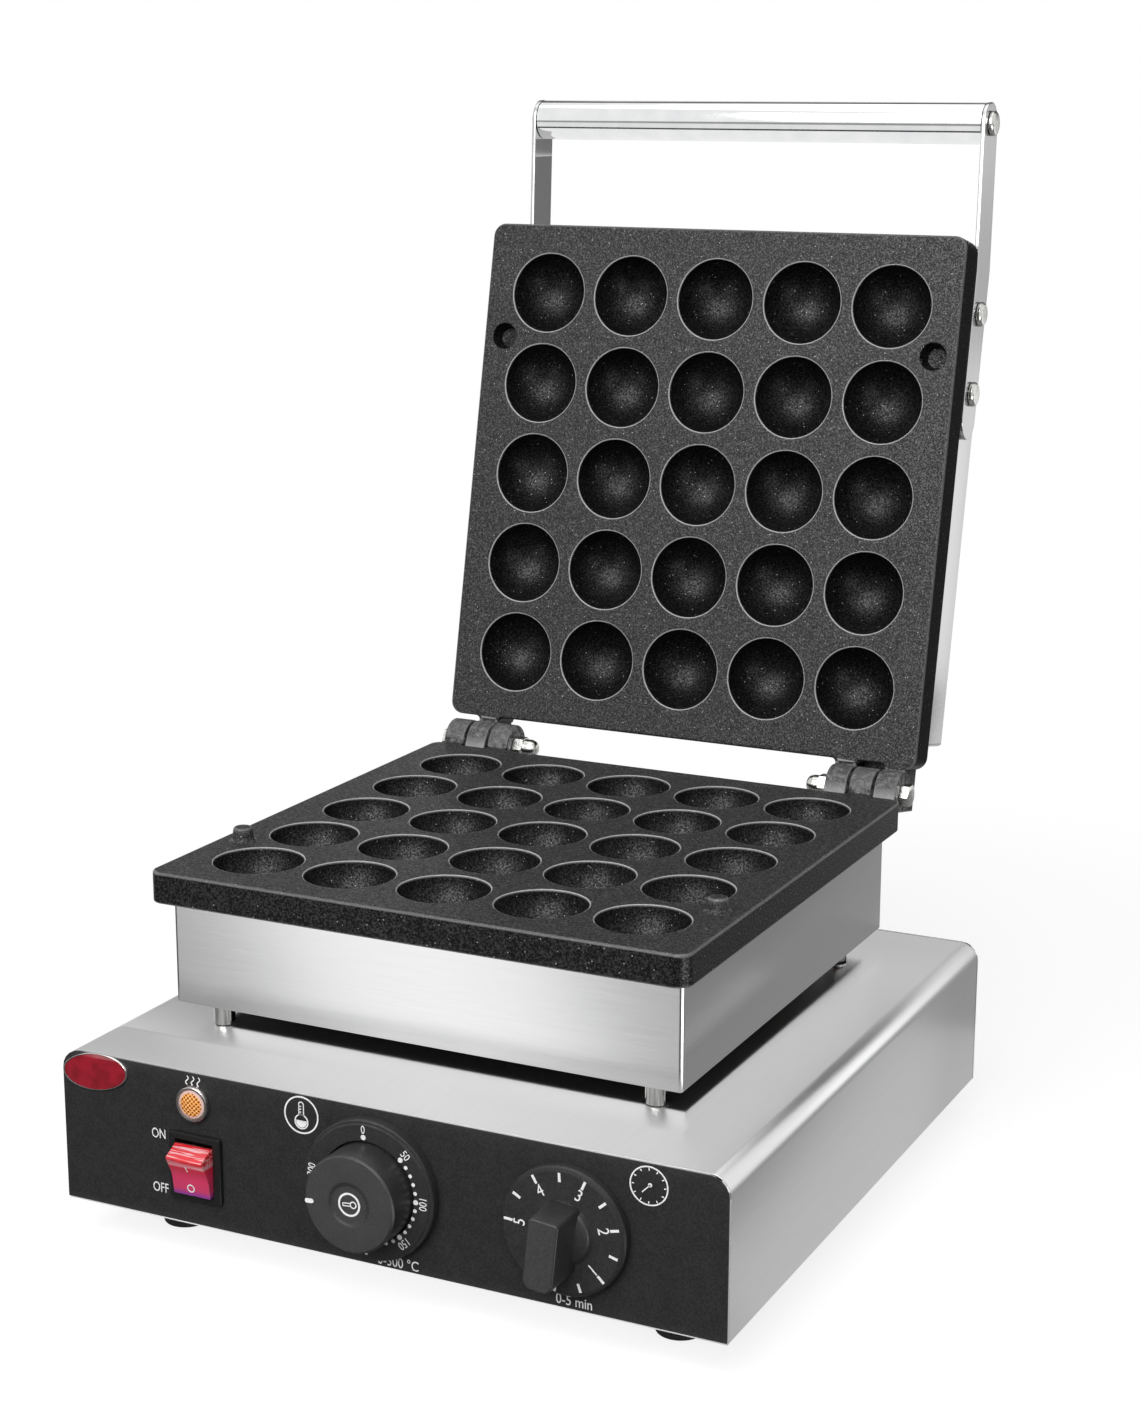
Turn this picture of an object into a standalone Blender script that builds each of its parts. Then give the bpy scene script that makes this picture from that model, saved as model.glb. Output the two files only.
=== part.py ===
# Fish ball maker: a countertop cooker with two hinged plates of round cavities.
# Metres, +Z up, front towards -Y. z = 0 is the underside of the feet, x = 0 the middle,
# and y = 0 the middle of the length with the lid open against its stop, as it rests.
from math import acos, asin, atan2, cos, pi, radians, sin, sqrt, tan

import bmesh
import bpy
from mathutils import Matrix, Vector

# Cooking plates
BALL_DIAMETER = 0.040
CAVITY_PITCH = 0.0465
CAVITIES_PER_SIDE = 5
PLATE_BORDER = 0.015
LOWER_PLATE_THICKNESS = 0.0142
UPPER_PLATE_THICKNESS = 0.018
PLATE_CORNER_RADIUS = 0.0065
PLATE_EDGE_BREAK = 0.0007
CAVITY_FLOOR = 0.005
CORE_CORNER_RADIUS = 0.012
PIN_HEIGHT = 0.0065
PIN_TOP_RADIUS = 0.0039
PIN_FOOT_RADIUS = 0.0062
PIN_NECK_RADIUS = 0.0047
PIN_FLARE_HEIGHT = 0.0016
PIN_SIDE_MARGIN = 0.0117
SOCKET_CLEARANCE = 0.0005
SOCKET_EXTRA_DEPTH = 0.001

# Hinges: interleaved cast knuckles on one axis, a bolt and a dome nut through each group
KNUCKLES_PER_HINGE = 3
KNUCKLE_RADIUS = 0.0111
KNUCKLE_WIDTH = 0.0112
KNUCKLE_GAP = 0.0015
KNUCKLE_BACK_CLEARANCE = 0.0026
LUG_FILLET_SHARE = 0.95
LID_LUG_END = 0.0088
LID_LUG_BACK_STEP = 0.0015
LID_WEB_REACH = 0.007
LID_WEB_THICKNESS = 0.005
HINGE_GROUP_X = 0.1051
HINGE_AXIS_DROP = 0.0013
LID_OPEN_ANGLE = radians(101.89)
STOP_TOE_DROP = 0.002
HINGE_BOLT_DIAMETER = 0.006
HINGE_BORE_CLEARANCE = 0.0002
HINGE_HEAD_HEX = 0.010
HINGE_HEAD_HEIGHT = 0.0042
HINGE_NUT_LENGTH = 0.0122
HINGE_NUT_HEX_LENGTH = 0.0055
HINGE_NUT_DOME_RADIUS = 0.0046

# Stainless housings behind the plates
SHEET = 0.001
HOUSING_SIDE_INSET = 0.006
COVER_SIDE_INSET = 0.0068
HOUSING_FRONT_INSET = 0.0105
HOUSING_REAR_INSET = 0.0085
HOUSING_CORNER_RADIUS = 0.0018
LOWER_HOUSING_HEIGHT = 0.0478
UPPER_HOUSING_HEIGHT = 0.0417

# Heating elements, their clamps and the insulation behind them
HEATER_DIAMETER = 0.008
HEATER_RUN_HALF_LENGTH = 0.084
HEATER_TAIL = 0.020
CLAMP_MARGIN = 0.006
CLAMP_SHEET = 0.0015
INSULATION_INSET = 0.020
BULB_DIAMETER = 0.006
BULB_LENGTH = 0.090
CAPILLARY_DIAMETER = 0.0024
CAPILLARY_BEND_RADIUS = 0.010
CAPILLARY_FLOOR_CLEARANCE = 0.0125
CAPILLARY_BASE_DROP = 0.020
CAPILLARY_ENTRY_X = 0.011

# Pillars that hold the lower housing above the base
PILLAR_DIAMETER = 0.0098
PILLAR_BORE = 0.005
PILLAR_HEIGHT = 0.0152
PILLAR_SIDE_INSET = 0.0155
PILLAR_FRONT_INSET = 0.0225
PILLAR_REAR_INSET = 0.0185
PILLAR_FRONT_SHIFT = -0.0056

# Base: a folded shell, a front and a rear panel, and a pan with four feet
BASE_WIDTH = 0.316
BASE_FRONT_REACH = 0.1534
BASE_REAR_REACH = 0.1626
BASE_HEIGHT = 0.0702
BASE_BEND_RADIUS = 0.0085
PANEL_SHEET = 0.0012
FILM_THICKNESS = 0.0005
FILM_LIP = 0.001
PAN_RIM = 0.006
FOOT_HEIGHT = 0.0182
FOOT_RADIUS = 0.0118
FOOT_TREAD_RADIUS = 0.0104
FOOT_RECESS_RADIUS = 0.0045
FOOT_RECESS_DEPTH = 0.008
FOOT_SIDE_INSET = 0.0364
FOOT_END_INSET = 0.038
VENT_LENGTH = 0.034
VENT_WIDTH = 0.0032
VENT_PITCH = 0.009
VENT_COUNT = 7
VENT_SIDE_INSET = 0.078

# Cord gland in the rear panel
GLAND_SIDE_INSET = 0.053
GLAND_DROP = 0.040
GLAND_RADIUS = 0.0105
GLAND_THREAD_RADIUS = 0.008
GLAND_BORE_RADIUS = 0.0048
GLAND_FLANGE = 0.005
GLAND_NOSE = 0.014
GLAND_INSIDE = 0.012
GLAND_STEP = 0.0025
GLAND_CHAMFER = 0.0012
SEAL_DIMPLE = 0.003

# Handle: two cranked flat bars and a tube between them
TUBE_DIAMETER = 0.020
TUBE_WALL = 0.0015
HANDLE_REACH = 0.060
HANDLE_RISE = 0.0333
ARM_WIDTH = 0.0205
ARM_THICKNESS = 0.002
ARM_SEAT_RISE = 0.0443
ARM_CRANK_INSET = 0.0095
ARM_TAIL = 0.0125
ARM_SCREW_FRONT_INSET = 0.0318
ARM_SCREW_SPACING = 0.0395
TUBE_PLUG_LENGTH = 0.008
SCREW_HEAD_DIAMETER = 0.0122
SCREW_HEAD_HEIGHT = 0.0026
SCREW_CROWN_SHARES = ((0, 1), (0.55, 0.94), (0.9, 0.6))
SCREW_SHANK_DIAMETER = 0.005
SCREW_REACH = 0.0055
SCREW_CLEARANCE = 0.0003

# Controls, by their distance in from the sides of the base and below its top
LAMP_SIDE_INSET = 0.0687
LAMP_DROP = 0.0131
LAMP_BEZEL_RADIUS = 0.0081
LAMP_BEZEL_HEIGHT = 0.0026
LAMP_BARREL_RADIUS = 0.0062
LAMP_BARREL_LENGTH = 0.022
LAMP_LENS_RADIUS = 0.0064
LAMP_LENS_DEPTH = 0.0012
LAMP_LENS_RISE = 0.0013
LAMP_DOME_SHARES = ((0, 1), (0.5, 0.75), (0.85, 0.3), (1, 0))
SWITCH_SIDE_INSET = 0.0691
SWITCH_DROP = 0.0423
SWITCH_BEZEL_WIDTH = 0.0262
SWITCH_BEZEL_HEIGHT = 0.0304
SWITCH_BEZEL_THICKNESS = 0.0022
SWITCH_BEZEL_CORNER = 0.001
SWITCH_BODY_WIDTH = 0.0224
SWITCH_BODY_HEIGHT = 0.0272
SWITCH_BODY_DEPTH = 0.024
SWITCH_RECESS_WIDTH = 0.0192
SWITCH_RECESS_HEIGHT = 0.0248
SWITCH_RECESS_DEPTH = 0.009
ROCKER_WIDTH = 0.0184
ROCKER_TILT = radians(18.0)
ROCKER_RIDGE_HALF = 0.0098
ROCKER_RIDGE_RISE = 0.0086
ROCKER_VALLEY_RISE = 0.0070
ROCKER_END_HALF = 0.0112
ROCKER_ROOT_HALF = 0.0080
ROCKER_ROOT_DEPTH = 0.0040
ROCKER_PIVOT_INSET = 0.0004
ROCKER_TRUNNION_RADIUS = 0.0015
ROCKER_TRUNNION_LENGTH = 0.0008
ROCKER_TRUNNION_CLEARANCE = 0.0002

CONTROL_CORNER_RADIUS = 0.003
CONTROL_EDGE_DRAFT = 0.0011
SPINDLE_DIAMETER = 0.006
SPINDLE_FLAT_DEPTH = 0.0015
SPINDLE_CLEARANCE = 0.0002
SPINDLE_INSIDE = 0.010
SPINDLE_TIP_COVER = 0.004
PANEL_SPINDLE_HOLE = 0.0045
KNOB_DROP = 0.0342

THERMOSTAT_SIDE_INSET = 0.157
THERMOSTAT_BODY_WIDTH = 0.044
THERMOSTAT_BODY_HEIGHT = 0.036
THERMOSTAT_BODY_DEPTH = 0.028
DIAL_RADIUS = 0.0309
DIAL_EDGE_HEIGHT = 0.0047
DIAL_HEIGHT = 0.0055
DIAL_BORE_CLEARANCE = 0.0007
THERMOSTAT_KNOB_RADIUS = 0.0212
THERMOSTAT_KNOB_RISE = 0.0204
THERMOSTAT_KNOB_EDGE = 0.0009
THERMOSTAT_KNOB_DISH_RADIUS = 0.0085
THERMOSTAT_KNOB_DISH_DEPTH = 0.0007
THERMOSTAT_REST = radians(-95.0)

TIMER_SIDE_INSET = 0.0695
TIMER_BODY_SIDE = 0.056
TIMER_BODY_DEPTH = 0.040
TIMER_SKIRT_RADIUS = 0.0278
TIMER_SKIRT_EDGE_HEIGHT = 0.0036
TIMER_SKIRT_HEIGHT = 0.0052
TIMER_BOSS_RADIUS = 0.0138
TIMER_BOSS_RISE = 0.0038
TIMER_BOSS_SHARES = ((0, 1), (0.55, 0.9), (0.88, 0.5), (1, 0))
TIMER_GRIP_WIDTH = 0.0142
TIMER_GRIP_UP = 0.0131
TIMER_GRIP_DOWN = 0.0183
TIMER_GRIP_RISE = 0.0242
TIMER_GRIP_CORNER = 0.0047
TIMER_GRIP_TOP_CORNER = 0.0022
TIMER_REST = radians(6.0)

TERMINAL_LENGTH = 0.045
TERMINAL_WIDTH = 0.020
TERMINAL_HEIGHT = 0.014
TERMINAL_RIDGE = 0.004
TERMINAL_WALL = 0.0035
TERMINAL_WAYS = 4
TERMINAL_SIDE_INSET = 0.098
TERMINAL_REAR_INSET = 0.040

# Looks: sRGB colour, roughness, metallic
LOOKS = {
    "brushed_stainless": ("c4c5c6", 0.32, 1.0),
    "nonstick_coating": ("3a3a3b", 0.55, 0.0),
    "zinc_plate": ("c9c9c4", 0.28, 1.0),
    "black_plastic": ("262627", 0.45, 0.0),
    "heater_sheath": ("8d8a86", 0.4, 1.0),
    "galvanised_sheet": ("a9acae", 0.5, 1.0),
    "mineral_wool": ("b9a98a", 0.95, 0.0),
    "printed_film": ("2b2b2c", 0.4, 0.0),
    "foot_rubber": ("1c1c1c", 0.8, 0.0),
    "polished_chrome": ("e2e3e4", 0.06, 1.0),
    "lamp_chrome": ("d7d8d8", 0.2, 1.0),
    "amber_lens": ("f08a1c", 0.15, 0.0),
    "red_rocker": ("d8182c", 0.25, 0.0),
    "control_case": ("4a4d50", 0.5, 0.3),
    "nylon": ("e6e2d6", 0.6, 0.0),
    "copper": ("b8734a", 0.35, 1.0),
}

# Clearances and modelling values
SEAT_GAP = 0.0003
CLOSED_GAP = 0.0003
OVERRUN = 0.002
EMBED = 0.003
WELD = 0.000001
HEX_SIDES = 6
SMALL_SIDES = 12
ROUND_SIDES = 16
TUBE_SIDES = 20
FINE_SIDES = 24
CAVITY_RINGS = 3
KNUCKLE_STEPS = 8
CORNER_STEPS = 3
BEND_STEPS = 5
HALF_TURN_STEPS = 6
PIPE_BEND_STEPS = 3
SHARP_ANGLE = radians(35)
EDGE_ANGLE = radians(60)

# Heights, from the floor up
SHELL_BOTTOM = FOOT_HEIGHT + SEAT_GAP
BASE_TOP = SHELL_BOTTOM + BASE_HEIGHT
PILLAR_BOTTOM = BASE_TOP + SEAT_GAP
HOUSING_BOTTOM = PILLAR_BOTTOM + PILLAR_HEIGHT + SEAT_GAP
LOWER_FACE = HOUSING_BOTTOM + LOWER_HOUSING_HEIGHT + SEAT_GAP + LOWER_PLATE_THICKNESS
KNOB_Z = BASE_TOP - KNOB_DROP

# Plate places, from the middle of the cavities
BALL_RADIUS = BALL_DIAMETER / 2
GRID_HALF = CAVITY_PITCH * (CAVITIES_PER_SIDE - 1) / 2
PLATE_HALF = GRID_HALF + BALL_RADIUS + PLATE_BORDER
CORE_DEPTH = BALL_RADIUS + CAVITY_FLOOR
PIN_X = PLATE_HALF - PIN_SIDE_MARGIN
PIN_Y = -GRID_HALF + CAVITY_PITCH / 2
HINGE_Y = PLATE_HALF + KNUCKLE_RADIUS + KNUCKLE_BACK_CLEARANCE
HINGE_Z = LOWER_FACE - HINGE_AXIS_DROP
UPPER_AXIS_DEPTH = HINGE_AXIS_DROP + CLOSED_GAP
HINGE_GROUP_HALF = (KNUCKLES_PER_HINGE * KNUCKLE_WIDTH + (KNUCKLES_PER_HINGE - 1) * KNUCKLE_GAP) / 2

# Housing places
HOUSING_HALF_WIDTH = PLATE_HALF - HOUSING_SIDE_INSET
COVER_HALF_WIDTH = PLATE_HALF - COVER_SIDE_INSET
HOUSING_FRONT = -PLATE_HALF + HOUSING_FRONT_INSET
HOUSING_REAR = PLATE_HALF - HOUSING_REAR_INSET
PILLAR_X = HOUSING_HALF_WIDTH - PILLAR_SIDE_INSET
PILLAR_FRONT_Y = HOUSING_FRONT + PILLAR_FRONT_INSET
PILLAR_REAR_Y = HOUSING_REAR - PILLAR_REAR_INSET

# Panel planes, front to back
FILM_FACE = -BASE_FRONT_REACH
PANEL_FACE = FILM_FACE + FILM_THICKNESS + SEAT_GAP
PANEL_BACK = PANEL_FACE + PANEL_SHEET
SHELL_FRONT = PANEL_BACK + SEAT_GAP
SHELL_REAR = BASE_REAR_REACH - PANEL_SHEET - SEAT_GAP
BEHIND_PANEL = PANEL_BACK + SEAT_GAP
FRONT_OF_FILM = FILM_FACE - SEAT_GAP

# Places in from the sides of the base
LEFT_SIDE, RIGHT_SIDE = -BASE_WIDTH / 2, BASE_WIDTH / 2
LAMP_X = LEFT_SIDE + LAMP_SIDE_INSET
SWITCH_X = LEFT_SIDE + SWITCH_SIDE_INSET
THERMOSTAT_X = LEFT_SIDE + THERMOSTAT_SIDE_INSET
TIMER_X = RIGHT_SIDE - TIMER_SIDE_INSET
VENT_X = RIGHT_SIDE - VENT_SIDE_INSET
GLAND_X = LEFT_SIDE + GLAND_SIDE_INSET
TERMINAL_X = LEFT_SIDE + TERMINAL_SIDE_INSET

# Lid places, closed, from the hinge axis
LID_FRONT = -PLATE_HALF - HINGE_Y
LID_FACE = UPPER_AXIS_DEPTH
LID_HOUSING_Z = LID_FACE + UPPER_PLATE_THICKNESS + SEAT_GAP
LID_TOP = LID_HOUSING_Z + UPPER_HOUSING_HEIGHT
TUBE_Y = LID_FRONT - HANDLE_REACH
TUBE_Z = UPPER_AXIS_DEPTH - CLOSED_GAP + HANDLE_RISE
ARM_Z = UPPER_AXIS_DEPTH - CLOSED_GAP + ARM_SEAT_RISE
ARM_INNER_X = COVER_HALF_WIDTH + SEAT_GAP
ARM_OUTER_X = ARM_INNER_X + ARM_THICKNESS
ARM_CRANK_Y = LID_FRONT + ARM_CRANK_INSET
ARM_SCREW_Y = LID_FRONT + ARM_SCREW_FRONT_INSET
ARM_SCREW_ROWS = (ARM_SCREW_Y, ARM_SCREW_Y + ARM_SCREW_SPACING)
ARM_END_Y = ARM_SCREW_ROWS[1] + ARM_TAIL
TUBE_HALF = ARM_INNER_X - SEAT_GAP

# The grip of the timer is the foremost point, and the open lid's top corner the hindmost
LID_CORNER_Y = HOUSING_FRONT - HINGE_Y
FOREMOST = FRONT_OF_FILM - TIMER_GRIP_RISE
HINDMOST = HINGE_Y + LID_CORNER_Y * cos(LID_OPEN_ANGLE) + LID_TOP * sin(LID_OPEN_ANGLE)
GRID_Y = -(FOREMOST + HINDMOST) / 2


def start_scene():
    """Remove what the file opened with, and make the two collections and the carrying empties."""
    for thing in list(bpy.data.objects):
        bpy.data.objects.remove(thing, do_unlink=True)
    for name in ("fish_ball_maker", "cutters"):
        bpy.context.scene.collection.children.link(bpy.data.collections.new(name))
    carrier("body_frame", None, (0, GRID_Y, 0), (0, 0, 0))
    carrier("lid_hinge", "body_frame", (0, HINGE_Y, HINGE_Z), (-LID_OPEN_ANGLE, 0, 0))


def carrier(name, parent, place, turn):
    """An empty that pieces hang on."""
    empty = bpy.data.objects.new(name, None)
    bpy.data.collections["fish_ball_maker"].objects.link(empty)
    empty.parent = bpy.data.objects[parent] if parent else None
    empty.location = place
    empty.rotation_euler = turn
    return empty


def linear(channel):
    """One sRGB channel as the linear value that a shader reads."""
    return channel / 12.92 if channel <= 0.04045 else ((channel + 0.055) / 1.055) ** 2.4


def finish(name):
    """A Principled material from the table of looks, made once for each name."""
    found = bpy.data.materials.get(name)
    if found:
        return found
    colour, roughness, metallic = LOOKS[name]
    made = bpy.data.materials.new(name)
    made.use_nodes = True
    shader = made.node_tree.nodes["Principled BSDF"]
    channels = [linear(int(colour[i:i + 2], 16) / 255) for i in (0, 2, 4)]
    shader.inputs["Base Color"].default_value = (*channels, 1)
    shader.inputs["Roughness"].default_value = roughness
    shader.inputs["Metallic"].default_value = metallic
    return made


def mesh_of(bm, name):
    """Weld a bmesh, point its faces outwards and store it as a mesh."""
    bmesh.ops.remove_doubles(bm, verts=bm.verts[:], dist=WELD)
    bmesh.ops.recalc_face_normals(bm, faces=bm.faces[:])
    mesh = bpy.data.meshes.new(name)
    bm.to_mesh(mesh)
    bm.free()
    return mesh


def evaluated_mesh(thing, name):
    """The mesh that an object's curve or modifiers make, welded. The object is removed."""
    bpy.context.view_layer.update()
    graph = bpy.context.evaluated_depsgraph_get()
    raw = bpy.data.meshes.new_from_object(thing.evaluated_get(graph))
    bpy.data.objects.remove(thing, do_unlink=True)
    bm = bmesh.new()
    bm.from_mesh(raw)
    bpy.data.meshes.remove(raw)
    return mesh_of(bm, name)


def slab_mesh(name, loops, thickness):
    """Flat outlines, the first outside and the rest holes, made as thick as stated about z = 0."""
    curve = bpy.data.curves.new(name, "CURVE")
    curve.dimensions = "2D"
    curve.fill_mode = "BOTH"
    curve.extrude = thickness / 2
    for loop in loops:
        spline = curve.splines.new("POLY")
        spline.points.add(len(loop) - 1)
        for point, (x, y) in zip(spline.points, loop):
            point.co = (x, y, 0, 1)
        spline.use_cyclic_u = True
    holder = bpy.data.objects.new(name, curve)
    bpy.data.collections["cutters"].objects.link(holder)
    return evaluated_mesh(holder, name)


def turned_mesh(name, profile, sides=FINE_SIDES, ring=False):
    """A profile of (radius, height) points, top to bottom, turned about Z. A ring closes on itself."""
    mesh = bpy.data.meshes.new(name)
    links = [(i, i + 1) for i in range(len(profile) - 1)]
    if ring:
        links.append((len(profile) - 1, 0))
    mesh.from_pydata([(radius, 0, height) for radius, height in profile], links, [])
    holder = bpy.data.objects.new(name, mesh)
    bpy.data.collections["cutters"].objects.link(holder)
    screw = holder.modifiers.new("turn", "SCREW")
    screw.steps = sides
    screw.render_steps = sides
    screw.use_merge_vertices = True
    screw.merge_threshold = WELD
    return evaluated_mesh(holder, name)


def tube_mesh(name, path, radius, shares=None):
    """A capped tube along points. shares scale its radius point by point."""
    curve = bpy.data.curves.new(name, "CURVE")
    curve.dimensions = "3D"
    curve.bevel_depth = radius
    curve.bevel_resolution = 2
    curve.use_fill_caps = True
    spline = curve.splines.new("POLY")
    spline.points.add(len(path) - 1)
    for i, point in enumerate(spline.points):
        point.co = (*path[i], 1)
        point.radius = shares[i] if shares else 1
    holder = bpy.data.objects.new(name, curve)
    bpy.data.collections["cutters"].objects.link(holder)
    return evaluated_mesh(holder, name)


def tray_mesh(name, outline, depth):
    """The outer skin of a tray: a floor at z = 0 and walls that stand depth high, faces outwards."""
    bm = bmesh.new()
    floor = bm.faces.new([bm.verts.new((x, y, 0)) for x, y in outline])
    grown = bmesh.ops.extrude_edge_only(bm, edges=floor.edges[:])["geom"]
    rim = [item for item in grown if isinstance(item, bmesh.types.BMVert)]
    bmesh.ops.translate(bm, verts=rim, vec=(0, 0, depth))
    bmesh.ops.recalc_face_normals(bm, faces=bm.faces[:])
    floor.normal_update()
    if floor.normal.z * depth > 0:
        bmesh.ops.reverse_faces(bm, faces=bm.faces[:])
    mesh = bpy.data.meshes.new(name)
    bm.to_mesh(mesh)
    bm.free()
    return mesh


def copies_mesh(name, mesh, places):
    """One mesh that holds a copy of another at each place, a matrix."""
    bm = bmesh.new()
    for place in places:
        before = len(bm.verts)
        bm.from_mesh(mesh)
        bm.verts.ensure_lookup_table()
        bmesh.ops.transform(bm, matrix=place, verts=bm.verts[before:])
    return mesh_of(bm, name)


def rod_mesh(name, rods, radius, sides=SMALL_SIDES):
    """Straight round rods between pairs of points, in one mesh."""
    bm = bmesh.new()
    for start, end in rods:
        line = Vector(end) - Vector(start)
        place = Matrix.Translation((Vector(start) + Vector(end)) / 2)
        turn = line.to_track_quat("Z", "Y").to_matrix().to_4x4()
        bmesh.ops.create_cone(bm, cap_ends=True, segments=sides, radius1=radius, radius2=radius,
                              depth=line.length, matrix=place @ turn)
    return mesh_of(bm, name)


def block_mesh(name, low, high):
    """A box between two corners."""
    bm = bmesh.new()
    low, high = Vector(low), Vector(high)
    size = high - low
    place = Matrix.Translation((low + high) / 2) @ Matrix.Diagonal((*size, 1))
    bmesh.ops.create_cube(bm, size=1, matrix=place)
    return mesh_of(bm, name)


def dress(thing, place, turn, parent):
    """Hang an object on its carrier."""
    thing.parent = bpy.data.objects[parent]
    thing.location = place
    thing.rotation_euler = turn
    return thing


def piece(name, mesh, look, place=(0, 0, 0), turn=(0, 0, 0), parent="body_frame"):
    """A named sub-part, with a look from the table."""
    thing = bpy.data.objects.new(name, mesh)
    bpy.data.collections["fish_ball_maker"].objects.link(thing)
    if not mesh.materials:
        mesh.materials.append(finish(look))
    mesh.shade_smooth()
    mesh.set_sharp_from_angle(angle=SHARP_ANGLE)
    return dress(thing, place, turn, parent)


def tool(name, mesh, place=(0, 0, 0), turn=(0, 0, 0), parent="body_frame"):
    """A hidden object that cuts or joins a sub-part."""
    thing = bpy.data.objects.new(name, mesh)
    bpy.data.collections["cutters"].objects.link(thing)
    thing.hide_render = True
    thing.display_type = "WIRE"
    return dress(thing, place, turn, parent)


def boolean(thing, other, operation):
    modifier = thing.modifiers.new(operation.lower(), "BOOLEAN")
    modifier.operation = operation
    modifier.object = other
    modifier.solver = "EXACT"


def cut(thing, mesh, **place):
    boolean(thing, tool(thing.name + "_cut_" + mesh.name, mesh, **place), "DIFFERENCE")


def join(thing, mesh, **place):
    boolean(thing, tool(thing.name + "_add_" + mesh.name, mesh, **place), "UNION")


def solidify(thing, thickness):
    modifier = thing.modifiers.new("wall", "SOLIDIFY")
    modifier.thickness = thickness
    modifier.offset = -1
    modifier.use_even_offset = True


def break_edges(thing, width):
    modifier = thing.modifiers.new("edges", "BEVEL")
    modifier.width = width
    modifier.segments = 1
    modifier.limit_method = "ANGLE"
    modifier.angle_limit = EDGE_ANGLE


def arc(centre, radius, start, end, steps):
    """Points on an arc, both ends among them."""
    turns = [start + (end - start) * i / steps for i in range(steps + 1)]
    return [(centre[0] + radius * cos(a), centre[1] + radius * sin(a)) for a in turns]


def circle(centre, radius, sides=ROUND_SIDES):
    return arc(centre, radius, 0, 2 * pi, sides)[:-1]


def rounded(corners, steps=CORNER_STEPS):
    """A closed outline from (x, y, radius) corners, with an arc where the radius isn't zero."""
    outline = []
    count = len(corners)
    for i, (x, y, radius) in enumerate(corners):
        here = Vector((x, y))
        if radius <= 0:
            outline.append((x, y))
            continue
        back = (Vector(corners[i - 1][:2]) - here).normalized()
        ahead = (Vector(corners[(i + 1) % count][:2]) - here).normalized()
        outline += fillet(here, back, ahead, radius, steps)
    return [tuple(point) for point in outline]


def fillet(corner, back, ahead, radius, steps):
    """Points of the arc that rounds a corner between two unit directions, in 2D or 3D."""
    half = back.angle(ahead) / 2
    centre = corner + (back + ahead).normalized() * (radius / sin(half))
    start = corner + back * (radius / tan(half)) - centre
    end = corner + ahead * (radius / tan(half)) - centre
    sweep = start.angle(end)
    points = []
    for i in range(steps + 1):
        share = i / steps
        weights = (sin(sweep * (1 - share)) / sin(sweep), sin(sweep * share) / sin(sweep))
        points.append(centre + start * weights[0] + end * weights[1])
    return points


def bent_path(corners, radius):
    """A path through 3D corners with every inner corner bent to one radius."""
    points = [Vector(corner) for corner in corners]
    path = [points[0]]
    for i in range(1, len(points) - 1):
        back = (points[i - 1] - points[i]).normalized()
        ahead = (points[i + 1] - points[i]).normalized()
        path += fillet(points[i], back, ahead, radius, PIPE_BEND_STEPS)
    return path + [points[-1]]


def rectangle(half_width, front, rear, radius, steps=CORNER_STEPS):
    """A rounded rectangle, level about x = 0."""
    return rounded([(-half_width, front, radius), (half_width, front, radius),
                    (half_width, rear, radius), (-half_width, rear, radius)], steps)


def grid_places():
    """Centres of the cavities."""
    steps = range(CAVITIES_PER_SIDE)
    offsets = [i * CAVITY_PITCH - GRID_HALF for i in steps]
    return [(x, y) for y in offsets for x in offsets]


def knuckle_spans(middle):
    """Where knuckles stand along a hinge: the middle one, or the two outside it."""
    half = KNUCKLE_WIDTH / 2
    step = KNUCKLE_WIDTH + KNUCKLE_GAP
    centres = [0] if middle else [-step, step]
    return [(HINGE_GROUP_X + c - half, HINGE_GROUP_X + c + half) for c in centres]


def knuckle_start(axis_z):
    """The turn at which a knuckle leaves the face of its plate, from the axis."""
    return pi - asin(-axis_z / KNUCKLE_RADIUS)


def lower_lug_outline(axis_z):
    """A knuckle of the fixed plate with its web, in (y, z), face up at z = 0."""
    around = arc((HINGE_Y, axis_z), KNUCKLE_RADIUS, knuckle_start(axis_z), -pi / 2, KNUCKLE_STEPS)
    root = PLATE_HALF - EMBED
    return [(root, 0)] + around + [(root, axis_z - KNUCKLE_RADIUS)]


def lid_lug_outline(axis_z):
    """A knuckle of the lid in (y, z), face up: round on the face's side, flat behind, with a heel.

    The heel's flat lies along the fixed plate's back face when the lid is open.
    """
    c, s = cos(LID_OPEN_ANGLE), sin(LID_OPEN_ANGLE)
    reach = HINGE_Y - PLATE_HALF - SEAT_GAP
    drops = (STOP_TOE_DROP, (LID_LUG_END + reach * c) / s)
    toe, heel = [Vector((drop * s - reach * c, reach * s + drop * c)) for drop in drops]
    leave = atan2(toe.y, toe.x) + acos(KNUCKLE_RADIUS / toe.length)
    around = arc((HINGE_Y, axis_z), KNUCKLE_RADIUS, knuckle_start(axis_z), leave, KNUCKLE_STEPS // 2)
    flats = [(HINGE_Y + point.x, axis_z + point.y) for point in (toe, heel)]
    back = LID_LUG_BACK_STEP - UPPER_PLATE_THICKNESS
    root = PLATE_HALF - EMBED
    return [(root, 0)] + around + flats + [(HINGE_Y + LID_LUG_END, back), (root, back)]


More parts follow.
